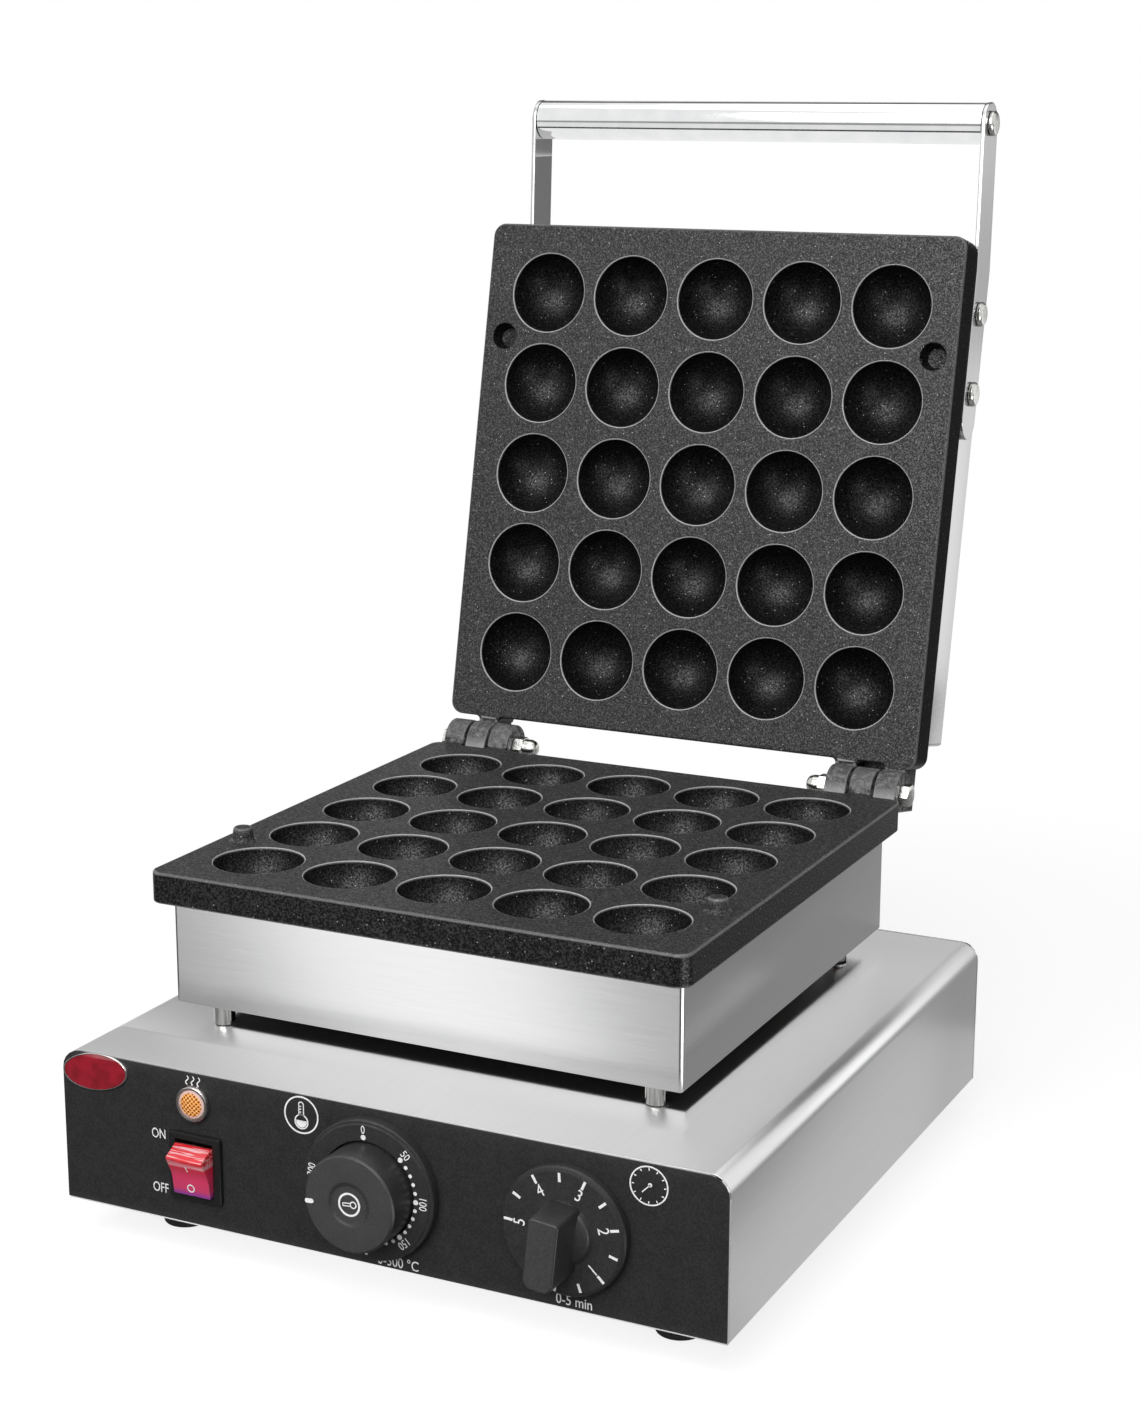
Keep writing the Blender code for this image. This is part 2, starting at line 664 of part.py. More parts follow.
def rim_outline(spans):
    """The plate's outline in (x, y), with a filleted root behind each lug."""
    end = HINGE_Y - KNUCKLE_RADIUS
    limit = PLATE_HALF - PLATE_CORNER_RADIUS
    fillet_radius = LUG_FILLET_SHARE * KNUCKLE_BACK_CLEARANCE
    roots = []
    for low, high in sorted(spans, reverse=True):
        if high < limit:
            roots.append((high, PLATE_HALF, fillet_radius))
        roots += [(min(high, limit), end, 0), (max(low, -limit), end, 0)]
        if low > -limit:
            roots.append((low, PLATE_HALF, fillet_radius))
    return rounded([(-PLATE_HALF, -PLATE_HALF, PLATE_CORNER_RADIUS),
                    (PLATE_HALF, -PLATE_HALF, PLATE_CORNER_RADIUS),
                    (PLATE_HALF, PLATE_HALF, PLATE_CORNER_RADIUS)] + roots
                   + [(-PLATE_HALF, PLATE_HALF, PLATE_CORNER_RADIUS)])


def along_x(mesh_name, outline, low, high):
    """An outline in (y, z) carried from x = low to x = high."""
    mesh = slab_mesh(mesh_name, [outline], high - low)
    place = Matrix.Translation(((low + high) / 2, 0, 0))
    stand = Matrix(((0, 0, 1, 0), (1, 0, 0, 0), (0, 1, 0, 0), (0, 0, 0, 1)))
    mesh.transform(place @ stand)
    return mesh


def gathered(name, meshes):
    """Several meshes as one."""
    bm = bmesh.new()
    for mesh in meshes:
        bm.from_mesh(mesh)
    return mesh_of(bm, name)


def cavity_plate(name, thickness, axis_z, lug, hang):
    """A cast plate, face up at z = 0: rim, core behind the cavities, hinge lugs and cavities.

    Two lugs stand on its left side and one on its right.
    """
    spans = [(-high, -low) for low, high in knuckle_spans(False)] + knuckle_spans(True)
    rim = slab_mesh(name + "_rim", [rim_outline(spans)], thickness)
    rim.transform(Matrix.Translation((0, 0, -thickness / 2)))
    plate = piece(name, rim, "nonstick_coating", **hang)
    break_edges(plate, PLATE_EDGE_BREAK)
    neck = sqrt(max(BALL_RADIUS ** 2 - thickness ** 2, 0))
    half = GRID_HALF + neck + CAVITY_FLOOR
    core_depth = max(CORE_DEPTH, thickness + CAVITY_FLOOR)
    core = slab_mesh("core", [rectangle(half, -half, half, CORE_CORNER_RADIUS)], core_depth - EMBED)
    core.transform(Matrix.Translation((0, 0, -(core_depth + EMBED) / 2)))
    join(plate, core, **hang)
    lugs = [along_x("lug", lug(axis_z), low, high) for low, high in spans]
    join(plate, gathered("lugs", lugs), **hang)
    bore = HINGE_BOLT_DIAMETER / 2 + HINGE_BORE_CLEARANCE
    runs = []
    for side in (-1, 1):
        near, far = (side * (HINGE_GROUP_X + way * (HINGE_GROUP_HALF + OVERRUN)) for way in (-1, 1))
        runs.append(((near, HINGE_Y, axis_z), (far, HINGE_Y, axis_z)))
    cup = [(0, OVERRUN), (BALL_RADIUS, OVERRUN)]
    cup += [(BALL_RADIUS * cos(a), -BALL_RADIUS * sin(a))
            for a in (pi / 2 * i / CAVITY_RINGS for i in range(CAVITY_RINGS))]
    cup.append((0, -BALL_RADIUS))
    cups = copies_mesh("cavities", turned_mesh("cavity", cup, ROUND_SIDES),
                       [Matrix.Translation((x, y, 0)) for x, y in grid_places()])
    cut(plate, cups, **hang)
    return plate, rod_mesh("bores", runs, bore)


def lower_plate():
    """The fixed plate, with two locating pins cast on its face."""
    hang = {"place": (0, 0, LOWER_FACE)}
    plate, bores = cavity_plate("lower_plate", LOWER_PLATE_THICKNESS, -HINGE_AXIS_DROP,
                                lower_lug_outline, hang)
    pin = [(0, PIN_HEIGHT), (PIN_TOP_RADIUS, PIN_HEIGHT), (PIN_NECK_RADIUS, PIN_FLARE_HEIGHT),
           (PIN_FOOT_RADIUS, 0), (PIN_FOOT_RADIUS, -EMBED), (0, -EMBED)]
    pins = copies_mesh("pins", turned_mesh("pin", pin, SMALL_SIDES),
                       [Matrix.Translation((side * PIN_X, PIN_Y, 0)) for side in (-1, 1)])
    join(plate, pins, **hang)
    cut(plate, bores, **hang)


def upper_plate():
    """The lid's plate: a like casting turned over, with sockets for the pins and stop heels."""
    hang = {"place": (0, -HINGE_Y, LID_FACE), "turn": (0, pi, 0), "parent": "lid_hinge"}
    plate, bores = cavity_plate("upper_plate", UPPER_PLATE_THICKNESS, UPPER_AXIS_DEPTH,
                                lid_lug_outline, hang)
    mouth = PIN_FOOT_RADIUS + SOCKET_CLEARANCE
    depth = PIN_HEIGHT + SOCKET_EXTRA_DEPTH
    socket = [(0, OVERRUN), (mouth, OVERRUN), (mouth, 0), (PIN_TOP_RADIUS + SOCKET_CLEARANCE, -depth),
              (0, -depth)]
    sockets = copies_mesh("sockets", turned_mesh("socket", socket, SMALL_SIDES),
                          [Matrix.Translation((side * PIN_X, PIN_Y, 0)) for side in (-1, 1)])
    # the casting runs on from lug to lug behind the fixed knuckle that stands between them
    back = LID_LUG_BACK_STEP - UPPER_PLATE_THICKNESS
    join(plate, block_mesh("web", (-HINGE_GROUP_X - KNUCKLE_WIDTH, PLATE_HALF - EMBED, back),
                           (KNUCKLE_WIDTH - HINGE_GROUP_X, PLATE_HALF + LID_WEB_REACH,
                            back + LID_WEB_THICKNESS)), **hang)
    cut(plate, sockets, **hang)
    cut(plate, bores, **hang)


def housings():
    """The two stainless covers, open towards their plates."""
    lower = tray_mesh("lower_housing", rectangle(HOUSING_HALF_WIDTH, HOUSING_FRONT, HOUSING_REAR,
                                                 HOUSING_CORNER_RADIUS), LOWER_HOUSING_HEIGHT)
    cover = piece("lower_housing", lower, "brushed_stainless", (0, 0, HOUSING_BOTTOM))
    solidify(cover, SHEET)
    cut(cover, pillar_holes("floor_holes", -OVERRUN, OVERRUN), place=(0, 0, HOUSING_BOTTOM))
    upper = tray_mesh("upper_housing", rectangle(COVER_HALF_WIDTH, HOUSING_FRONT, HOUSING_REAR,
                                                 HOUSING_CORNER_RADIUS), -UPPER_HOUSING_HEIGHT)
    lid = piece("upper_housing", upper, "brushed_stainless", (0, -HINGE_Y, LID_TOP), parent="lid_hinge")
    solidify(lid, SHEET)
    radius = SCREW_SHANK_DIAMETER / 2 + SCREW_CLEARANCE
    edge = COVER_HALF_WIDTH
    holes = [((side * (edge - SHEET - OVERRUN), y, ARM_Z), (side * (edge + OVERRUN), y, ARM_Z))
             for side in (-1, 1) for y in ARM_SCREW_ROWS]
    cut(lid, rod_mesh("arm_holes", holes, radius), parent="lid_hinge")


def pillar_holes(name, low, high):
    """Rods the size of the pillars' bores, at the four pillars."""
    rods = [((x, y, low), (x, y, high)) for x, y in pillar_places()]
    return rod_mesh(name, rods, PILLAR_BORE / 2)


def pillar_places():
    rows = ((PILLAR_FRONT_SHIFT, PILLAR_FRONT_Y), (0, PILLAR_REAR_Y))
    return [(shift + x, y) for shift, y in rows for x in (-PILLAR_X, PILLAR_X)]


def corner_names(stem):
    return [stem + end for end in ("_front_left", "_front_right", "_rear_left", "_rear_right")]


def pillars():
    """Four hollow spacers; a screw and the wiring go down through them."""
    ring = [(PILLAR_BORE / 2, PILLAR_HEIGHT), (PILLAR_DIAMETER / 2, PILLAR_HEIGHT),
            (PILLAR_DIAMETER / 2, 0), (PILLAR_BORE / 2, 0)]
    mesh = turned_mesh("pillar", ring, SMALL_SIDES, ring=True)
    for name, (x, y) in zip(corner_names("pillar"), pillar_places()):
        piece(name, mesh, "zinc_plate", (x, y, PILLAR_BOTTOM))


def heater_path(z):
    """A serpentine of runs between the rows of cavities, both tails on the left."""
    rows = [i * CAVITY_PITCH - GRID_HALF + CAVITY_PITCH / 2 for i in range(CAVITIES_PER_SIDE - 1)]
    bend = CAVITY_PITCH / 2
    path = [Vector((-HEATER_RUN_HALF_LENGTH - HEATER_TAIL, rows[0], z))]
    for i, y in enumerate(rows[:-1]):
        side = 1 if i % 2 == 0 else -1
        centre = (side * HEATER_RUN_HALF_LENGTH, y + bend)
        turn = arc(centre, bend, -pi / 2, -pi / 2 + side * pi, HALF_TURN_STEPS)
        path += [Vector((px, py, z)) for px, py in turn]
    return path + [Vector((-HEATER_RUN_HALF_LENGTH - HEATER_TAIL, rows[-1], z))]


def heating():
    """Behind each plate: the element, the sheet that clamps it and the insulation."""
    half = HEATER_RUN_HALF_LENGTH + CAVITY_PITCH / 2 - CLAMP_MARGIN
    pad_half = COVER_HALF_WIDTH - INSULATION_INSET
    layers = (("lower", LOWER_PLATE_THICKNESS, "body_frame", (0, 0, LOWER_FACE), (0, 0, 0),
               LOWER_HOUSING_HEIGHT),
              ("upper", UPPER_PLATE_THICKNESS, "lid_hinge", (0, -HINGE_Y, LID_FACE), (0, pi, 0),
               UPPER_HOUSING_HEIGHT))
    for level, thickness, parent, place, turn, height in layers:
        hang = {"place": place, "turn": turn, "parent": parent}
        core = max(CORE_DEPTH, thickness + CAVITY_FLOOR)
        axis = -core - SEAT_GAP - HEATER_DIAMETER / 2
        tube = tube_mesh(level + "_heater", heater_path(axis), HEATER_DIAMETER / 2)
        piece(level + "_heater", tube, "heater_sheath", **hang)
        top = axis - HEATER_DIAMETER / 2 - SEAT_GAP
        clamp = slab_mesh(level + "_clamp", [rectangle(half, -half, half, CORE_CORNER_RADIUS)],
                          CLAMP_SHEET)
        clamp.transform(Matrix.Translation((0, 0, top - CLAMP_SHEET / 2)))
        piece(level + "_clamp_plate", clamp, "galvanised_sheet", **hang)
        top -= CLAMP_SHEET + SEAT_GAP
        bottom = -thickness - SEAT_GAP - height + SHEET + SEAT_GAP
        pad = slab_mesh(level + "_pad", [rectangle(pad_half, -pad_half, pad_half,
                                                   CORE_CORNER_RADIUS)], top - bottom)
        pad.transform(Matrix.Translation((0, 0, (top + bottom) / 2)))
        piece(level + "_insulation", pad, "mineral_wool", **hang)


def base_outline(bottom):
    """The front view of the base, with the bends of the shell at its top corners."""
    half = BASE_WIDTH / 2
    return rounded([(-half, bottom, 0), (half, bottom, 0), (half, BASE_TOP, BASE_BEND_RADIUS),
                    (-half, BASE_TOP, BASE_BEND_RADIUS)], BEND_STEPS)


def upright(mesh, front, thickness):
    """Stand a slab drawn in (x, z) behind a plane."""
    mesh.transform(Matrix.Translation((0, front + thickness / 2, 0)) @ Matrix.Rotation(pi / 2, 4, "X"))
    return mesh


def base():
    """Folded shell, front panel with its printed film, rear panel and pan."""
    half = BASE_WIDTH / 2
    inner = half - SHEET
    bend = BASE_BEND_RADIUS - SHEET
    under = BASE_TOP - SHEET
    fold = rounded([(-half, SHELL_BOTTOM, 0), (-half, BASE_TOP, BASE_BEND_RADIUS),
                    (half, BASE_TOP, BASE_BEND_RADIUS), (half, SHELL_BOTTOM, 0),
                    (inner, SHELL_BOTTOM, 0), (inner, under, bend), (-inner, under, bend),
                    (-inner, SHELL_BOTTOM, 0)], BEND_STEPS)
    length = SHELL_REAR - SHELL_FRONT
    shell = piece("base_shell", upright(slab_mesh("base_shell", [fold], length), SHELL_FRONT, length),
                  "brushed_stainless")
    cut(shell, pillar_holes("top_holes", under - OVERRUN, BASE_TOP + OVERRUN))
    holes = panel_holes()
    panel = slab_mesh("front_panel", [base_outline(SHELL_BOTTOM)] + holes, PANEL_SHEET)
    piece("front_panel", upright(panel, PANEL_FACE, PANEL_SHEET), "brushed_stainless")
    film = slab_mesh("control_film", [base_outline(SHELL_BOTTOM + FILM_LIP)] + holes, FILM_THICKNESS)
    piece("control_film", upright(film, FILM_FACE, FILM_THICKNESS), "printed_film")
    rear = slab_mesh("rear_panel", [base_outline(SHELL_BOTTOM)] + rear_holes(), PANEL_SHEET)
    piece("rear_panel", upright(rear, BASE_REAR_REACH - PANEL_SHEET, PANEL_SHEET), "brushed_stainless")
    pan_half = inner - SEAT_GAP
    outline = rectangle(pan_half, SHELL_FRONT, SHELL_REAR, HOUSING_CORNER_RADIUS)
    tray = tray_mesh("base_pan", outline, PAN_RIM)
    pan = piece("base_pan", tray, "brushed_stainless", (0, 0, SHELL_BOTTOM))
    solidify(pan, SHEET)


def panel_holes():
    """Holes that the controls pass through, in (x, z)."""
    lamp = circle((LAMP_X, BASE_TOP - LAMP_DROP), LAMP_BARREL_RADIUS + SEAT_GAP)
    width = SWITCH_BODY_WIDTH / 2 + SEAT_GAP
    height = SWITCH_BODY_HEIGHT / 2 + SEAT_GAP
    z = BASE_TOP - SWITCH_DROP
    switch = [(SWITCH_X - width, z - height), (SWITCH_X + width, z - height),
              (SWITCH_X + width, z + height), (SWITCH_X - width, z + height)]
    spindles = [circle((x, KNOB_Z), PANEL_SPINDLE_HOLE, SMALL_SIDES) for x in (THERMOSTAT_X, TIMER_X)]
    return [lamp, switch] + spindles


def rear_holes():
    """The gland's hole and two banks of vents with round ends, in (x, z)."""
    gland = circle((GLAND_X, BASE_TOP - GLAND_DROP), GLAND_THREAD_RADIUS + SEAT_GAP)
    radius = VENT_WIDTH / 2
    reach = VENT_LENGTH / 2 - radius
    z = (SHELL_BOTTOM + BASE_TOP) / 2
    vents = []
    for i in range(VENT_COUNT):
        x = VENT_X + (i - (VENT_COUNT - 1) / 2) * VENT_PITCH
        vents.append(arc((x, z + reach), radius, 0, pi, CORNER_STEPS)
                     + arc((x, z - reach), radius, pi, 2 * pi, CORNER_STEPS))
    return [gland] + vents


def feet():
    """Four rubber feet with a screw's recess underneath."""
    profile = [(0, FOOT_HEIGHT), (FOOT_RADIUS, FOOT_HEIGHT), (FOOT_TREAD_RADIUS, 0),
               (FOOT_RECESS_RADIUS, 0), (FOOT_RECESS_RADIUS, FOOT_RECESS_DEPTH),
               (0, FOOT_RECESS_DEPTH)]
    mesh = turned_mesh("foot", profile, ROUND_SIDES)
    x = BASE_WIDTH / 2 - FOOT_SIDE_INSET
    rows = (-BASE_FRONT_REACH + FOOT_END_INSET, BASE_REAR_REACH - FOOT_END_INSET)
    places = [(side * x, y) for y in rows for side in (-1, 1)]
    for name, (px, py) in zip(corner_names("foot"), places):
        piece(name, mesh, "foot_rubber", (px, py, 0))


def gland():
    """The cord's gland in the rear panel, with its rubber seal."""
    z = BASE_TOP - GLAND_DROP
    out = GLAND_FLANGE + GLAND_NOSE
    nose = GLAND_RADIUS - GLAND_STEP
    ring = [(GLAND_BORE_RADIUS, out), (nose - GLAND_CHAMFER, out), (nose, out - GLAND_STEP),
            (nose, GLAND_FLANGE), (GLAND_RADIUS, GLAND_FLANGE), (GLAND_RADIUS, 0),
            (GLAND_THREAD_RADIUS, 0), (GLAND_THREAD_RADIUS, -GLAND_INSIDE),
            (GLAND_BORE_RADIUS, -GLAND_INSIDE)]
    place = (GLAND_X, BASE_REAR_REACH + SEAT_GAP, z)
    turn = (-pi / 2, 0, 0)
    body = turned_mesh("cord_gland", ring, SMALL_SIDES, ring=True)
    piece("cord_gland", body, "black_plastic", place, turn)
    seal = GLAND_BORE_RADIUS - SEAT_GAP
    plug = [(0, out - SEAL_DIMPLE), (seal / 2, out - SEAT_GAP), (seal, out - SEAT_GAP),
            (seal, GLAND_FLANGE), (0, GLAND_FLANGE)]
    piece("gland_seal", turned_mesh("gland_seal", plug, SMALL_SIDES), "foot_rubber", place, turn)


def arm_outline():
    """A cranked bar in (y, z) from the lid's hinge: straight on the cover, bent towards the tube."""
    spine = [Vector((ARM_END_Y, ARM_Z)), Vector((ARM_CRANK_Y, ARM_Z)), Vector((TUBE_Y, TUBE_Z))]
    half = ARM_WIDTH / 2
    lean = atan2(spine[2].y - spine[1].y, spine[2].x - spine[1].x)
    straight = atan2(0, spine[1].x - spine[0].x)
    miter = half / cos((lean - straight) / 2)
    bisector = (lean + straight) / 2
    side = Vector((-sin(bisector), cos(bisector))) * miter
    head = arc(tuple(spine[2]), half, lean + pi / 2, lean - pi / 2, HALF_TURN_STEPS)
    tail = arc(tuple(spine[0]), half, straight - pi / 2, straight - 3 * pi / 2, HALF_TURN_STEPS)
    return tail + [tuple(spine[1] + side)] + head + [tuple(spine[1] - side)]


def handle():
    """Two arms outside the cover, the tube between them, its end plugs and all their screws."""
    bore = SCREW_SHANK_DIAMETER / 2 + SCREW_CLEARANCE
    holes = [circle((y, ARM_Z), bore, SMALL_SIDES) for y in ARM_SCREW_ROWS]
    holes.append(circle((TUBE_Y, TUBE_Z), bore, SMALL_SIDES))
    stand = Matrix(((0, 0, 1, 0), (1, 0, 0, 0), (0, 1, 0, 0), (0, 0, 0, 1)))
    for side, word in ((-1, "left"), (1, "right")):
        bar = slab_mesh("handle_arm", [arm_outline()] + holes, ARM_THICKNESS)
        x = side * (ARM_INNER_X + ARM_THICKNESS / 2)
        bar.transform(Matrix.Translation((x, 0, 0)) @ stand)
        piece("handle_arm_" + word, bar, "brushed_stainless", parent="lid_hinge")
    outer = TUBE_DIAMETER / 2
    inner = outer - TUBE_WALL
    ring = [(inner, TUBE_HALF), (outer, TUBE_HALF), (outer, -TUBE_HALF), (inner, -TUBE_HALF)]
    lie = {"place": (0, TUBE_Y, TUBE_Z), "turn": (0, pi / 2, 0), "parent": "lid_hinge"}
    piece("handle_tube", turned_mesh("handle_tube", ring, TUBE_SIDES, ring=True),
          "polished_chrome", **lie)
    plug_radius = inner - SEAT_GAP
    for side, word in ((-1, "left"), (1, "right")):
        ends = (side * (TUBE_HALF - TUBE_PLUG_LENGTH), side * TUBE_HALF)
        low, high = min(ends), max(ends)
        disc = [(bore, high), (plug_radius, high), (plug_radius, low), (bore, low)]
        plug = turned_mesh("tube_plug", disc, SMALL_SIDES, ring=True)
        piece("tube_plug_" + word, plug, "zinc_plate", **lie)


def screws():
    """Pan-head screws: two in each arm, and one through each arm into the tube's plug."""
    head = SCREW_HEAD_DIAMETER / 2
    shank = SCREW_SHANK_DIAMETER / 2
    reach = ARM_THICKNESS + SEAT_GAP + SCREW_REACH
    crown = [(head * out, SCREW_HEAD_HEIGHT * up) for out, up in SCREW_CROWN_SHARES]
    mesh = turned_mesh("pan_screw", crown + [(head, 0), (shank, 0), (shank, -reach), (0, -reach)],
                       SMALL_SIDES)
    for side, word in ((-1, "left"), (1, "right")):
        x = side * (ARM_OUTER_X + SEAT_GAP)
        turn = (0, side * pi / 2, 0)
        for row, y in zip(("front", "rear"), ARM_SCREW_ROWS):
            piece("arm_screw_" + word + "_" + row, mesh, "zinc_plate", (x, y, ARM_Z), turn,
                  "lid_hinge")
        piece("handle_screw_" + word, mesh, "zinc_plate", (x, TUBE_Y, TUBE_Z), turn, "lid_hinge")


def hinge_bolts():
    """A hex bolt from outside each knuckle group and a dome nut on its inner end."""
    outside = HINGE_GROUP_X + HINGE_GROUP_HALF + SEAT_GAP
    inside = HINGE_GROUP_X - HINGE_GROUP_HALF - SEAT_GAP
    bolt_end = inside - HINGE_NUT_HEX_LENGTH
    shank = HINGE_BOLT_DIAMETER / 2
    hex_radius = HINGE_HEAD_HEX / 2 / cos(pi / HEX_SIDES)
    bore = shank + HINGE_BORE_CLEARANCE
    nut_far = inside - HINGE_NUT_LENGTH
    hex_far = inside - HINGE_NUT_HEX_LENGTH
    dome_rise = hex_far - nut_far
    dome = [(HINGE_NUT_DOME_RADIUS * sin(a), hex_far - dome_rise * cos(a))
            for a in (pi / 2 * i / CORNER_STEPS for i in range(CORNER_STEPS + 1))]
    dome_profile = [(0, hex_far + EMBED), (HINGE_NUT_DOME_RADIUS, hex_far + EMBED)] + dome[::-1]
    for side, word in ((-1, "left"), (1, "right")):
        hang = {"place": (0, HINGE_Y, HINGE_Z), "parent": "body_frame"}
        head = rod_mesh("hinge_bolt", [((side * outside, 0, 0),
                                        (side * (outside + HINGE_HEAD_HEIGHT), 0, 0))], hex_radius,
                        HEX_SIDES)
        bolt = piece("hinge_bolt_" + word, head, "zinc_plate", **hang)
        join(bolt, rod_mesh("shank", [((side * (outside + EMBED), 0, 0), (side * bolt_end, 0, 0))],
                            shank), **hang)
        nut_hex = rod_mesh("hinge_nut", [((side * inside, 0, 0), (side * hex_far, 0, 0))], hex_radius,
                           HEX_SIDES)
        nut = piece("hinge_nut_" + word, nut_hex, "zinc_plate", **hang)
        cap = turned_mesh("dome", dome_profile, ROUND_SIDES)
        cap.transform(Matrix.Rotation(side * pi / 2, 4, "Y"))
        join(nut, cap, **hang)
        cut(nut, rod_mesh("thread", [((side * (inside + OVERRUN), 0, 0),
                                      (side * (bolt_end - SEAT_GAP), 0, 0))], bore), **hang)


def pilot_lamp():
    """The heating lamp: a bright bezel with its barrel behind the panel, and an amber lens."""
    deep = -(FRONT_OF_FILM - BEHIND_PANEL) + LAMP_BARREL_LENGTH
    seat = LAMP_BEZEL_HEIGHT - LAMP_LENS_DEPTH
    lens_hole = LAMP_LENS_RADIUS + SEAT_GAP
    body = [(0, seat), (lens_hole, seat), (lens_hole, LAMP_BEZEL_HEIGHT),
            (LAMP_BEZEL_RADIUS - LAMP_LENS_DEPTH / 2, LAMP_BEZEL_HEIGHT),
            (LAMP_BEZEL_RADIUS, LAMP_BEZEL_HEIGHT / 2), (LAMP_BEZEL_RADIUS, 0),
            (LAMP_BARREL_RADIUS, 0), (LAMP_BARREL_RADIUS, -deep), (0, -deep)]
    place = (LAMP_X, FRONT_OF_FILM, BASE_TOP - LAMP_DROP)
    turn = (pi / 2, 0, 0)
    piece("lamp_body", turned_mesh("lamp_body", body, ROUND_SIDES), "lamp_chrome", place, turn)
    low = seat + SEAT_GAP
    dome = [(LAMP_LENS_RADIUS * out, LAMP_BEZEL_HEIGHT + LAMP_LENS_RISE * up)
            for out, up in LAMP_DOME_SHARES]
    lens = dome + [(LAMP_LENS_RADIUS, low), (0, low)]
    piece("lamp_lens", turned_mesh("lamp_lens", lens, ROUND_SIDES), "amber_lens", place, turn)


def rocker_switch():
    """The switch body with its recess, and the rocker on its two trunnions, resting at off."""
    z = BASE_TOP - SWITCH_DROP
    turn = (pi / 2, 0, 0)
    front = FRONT_OF_FILM - SWITCH_BEZEL_THICKNESS
    half_w, half_h = SWITCH_BEZEL_WIDTH / 2, SWITCH_BEZEL_HEIGHT / 2
    bezel = slab_mesh("switch_body", [rectangle(half_w, -half_h, half_h, SWITCH_BEZEL_CORNER)],
                      SWITCH_BEZEL_THICKNESS)
    hang = {"place": (SWITCH_X, FRONT_OF_FILM - SWITCH_BEZEL_THICKNESS / 2, z), "turn": turn}
    body = piece("switch_body", bezel, "black_plastic", **hang)
    at = {"place": (SWITCH_X, 0, z)}
    width, height = SWITCH_BODY_WIDTH / 2, SWITCH_BODY_HEIGHT / 2
    join(body, block_mesh("case", (-width, FRONT_OF_FILM - EMBED / 2, -height),
                          (width, BEHIND_PANEL + SWITCH_BODY_DEPTH, height)), **at)
    recess_w, recess_h = SWITCH_RECESS_WIDTH / 2, SWITCH_RECESS_HEIGHT / 2
    pivot_y = FILM_FACE + ROCKER_PIVOT_INSET
    cut(body, block_mesh("recess", (-recess_w, front - OVERRUN, -recess_h),
                         (recess_w, pivot_y + SWITCH_RECESS_DEPTH, recess_h)), **at)
    hole = ROCKER_TRUNNION_RADIUS + ROCKER_TRUNNION_CLEARANCE
    socket_end = ROCKER_WIDTH / 2 + ROCKER_TRUNNION_LENGTH + SEAT_GAP
    cut(body, rod_mesh("trunnion_holes", [((-socket_end, pivot_y, 0), (socket_end, pivot_y, 0))],
                       hole), **at)
    profile = [(ROCKER_ROOT_HALF, -ROCKER_ROOT_DEPTH), (ROCKER_END_HALF, 0),
               (ROCKER_RIDGE_HALF, ROCKER_RIDGE_RISE), (0, ROCKER_VALLEY_RISE),
               (-ROCKER_RIDGE_HALF, ROCKER_RIDGE_RISE), (-ROCKER_END_HALF, 0),
               (-ROCKER_ROOT_HALF, -ROCKER_ROOT_DEPTH)]
    shape = slab_mesh("rocker", [profile], ROCKER_WIDTH)
    # drawn as (height, rise): height goes to world Z and rise to -Y
    shape.transform(Matrix(((0, 0, 1, 0), (0, -1, 0, 0), (1, 0, 0, 0), (0, 0, 0, 1))))
    tilt = {"place": (SWITCH_X, pivot_y, z), "turn": (ROCKER_TILT, 0, 0)}
    rocker = piece("rocker", shape, "red_rocker", **tilt)
    stub = ROCKER_WIDTH / 2 + ROCKER_TRUNNION_LENGTH
    join(rocker, rod_mesh("trunnions", [((-stub, 0, 0), (stub, 0, 0))], ROCKER_TRUNNION_RADIUS), **tilt)


def d_outline(radius, flat):
    """A round shaft's outline with one flat."""
    height = radius - flat
    edge = asin(height / radius)
    return arc((0, 0), radius, pi - edge, 2 * pi + edge, SMALL_SIDES)


def spindle(name, x, rise, angle):
    """A shaft with a flat, from inside a control's body into its knob."""
    front = FRONT_OF_FILM - rise + SPINDLE_TIP_COVER
    back = BEHIND_PANEL + SPINDLE_INSIDE
    mesh = slab_mesh(name, [d_outline(SPINDLE_DIAMETER / 2, SPINDLE_FLAT_DEPTH)], back - front)
    mesh.transform(Matrix.Rotation(pi / 2, 4, "X"))
    piece(name, mesh, "zinc_plate", (x, (front + back) / 2, KNOB_Z), (0, angle, 0))


def spindle_bore(rise):
    """The knob's bore for its shaft, along local Z from the knob's back face at z = 0."""
    deep = rise - SPINDLE_TIP_COVER + SEAT_GAP
    mesh = slab_mesh("spindle_bore", [d_outline(SPINDLE_DIAMETER / 2 + SPINDLE_CLEARANCE,
                                                SPINDLE_FLAT_DEPTH)], deep + OVERRUN)
    mesh.transform(Matrix.Translation((0, 0, (deep - OVERRUN) / 2)))
    return mesh


def control_body(name, x, width, height, depth):
    """A control's case behind the panel, bored for its spindle."""
    outline = rectangle(width / 2, -height / 2, height / 2, CONTROL_CORNER_RADIUS)
    bore = circle((0, 0), SPINDLE_DIAMETER / 2 + SPINDLE_CLEARANCE)
    mesh = slab_mesh(name, [outline, bore], depth)
    piece(name, upright(mesh, BEHIND_PANEL, depth), "control_case",
          (x, 0, KNOB_Z))


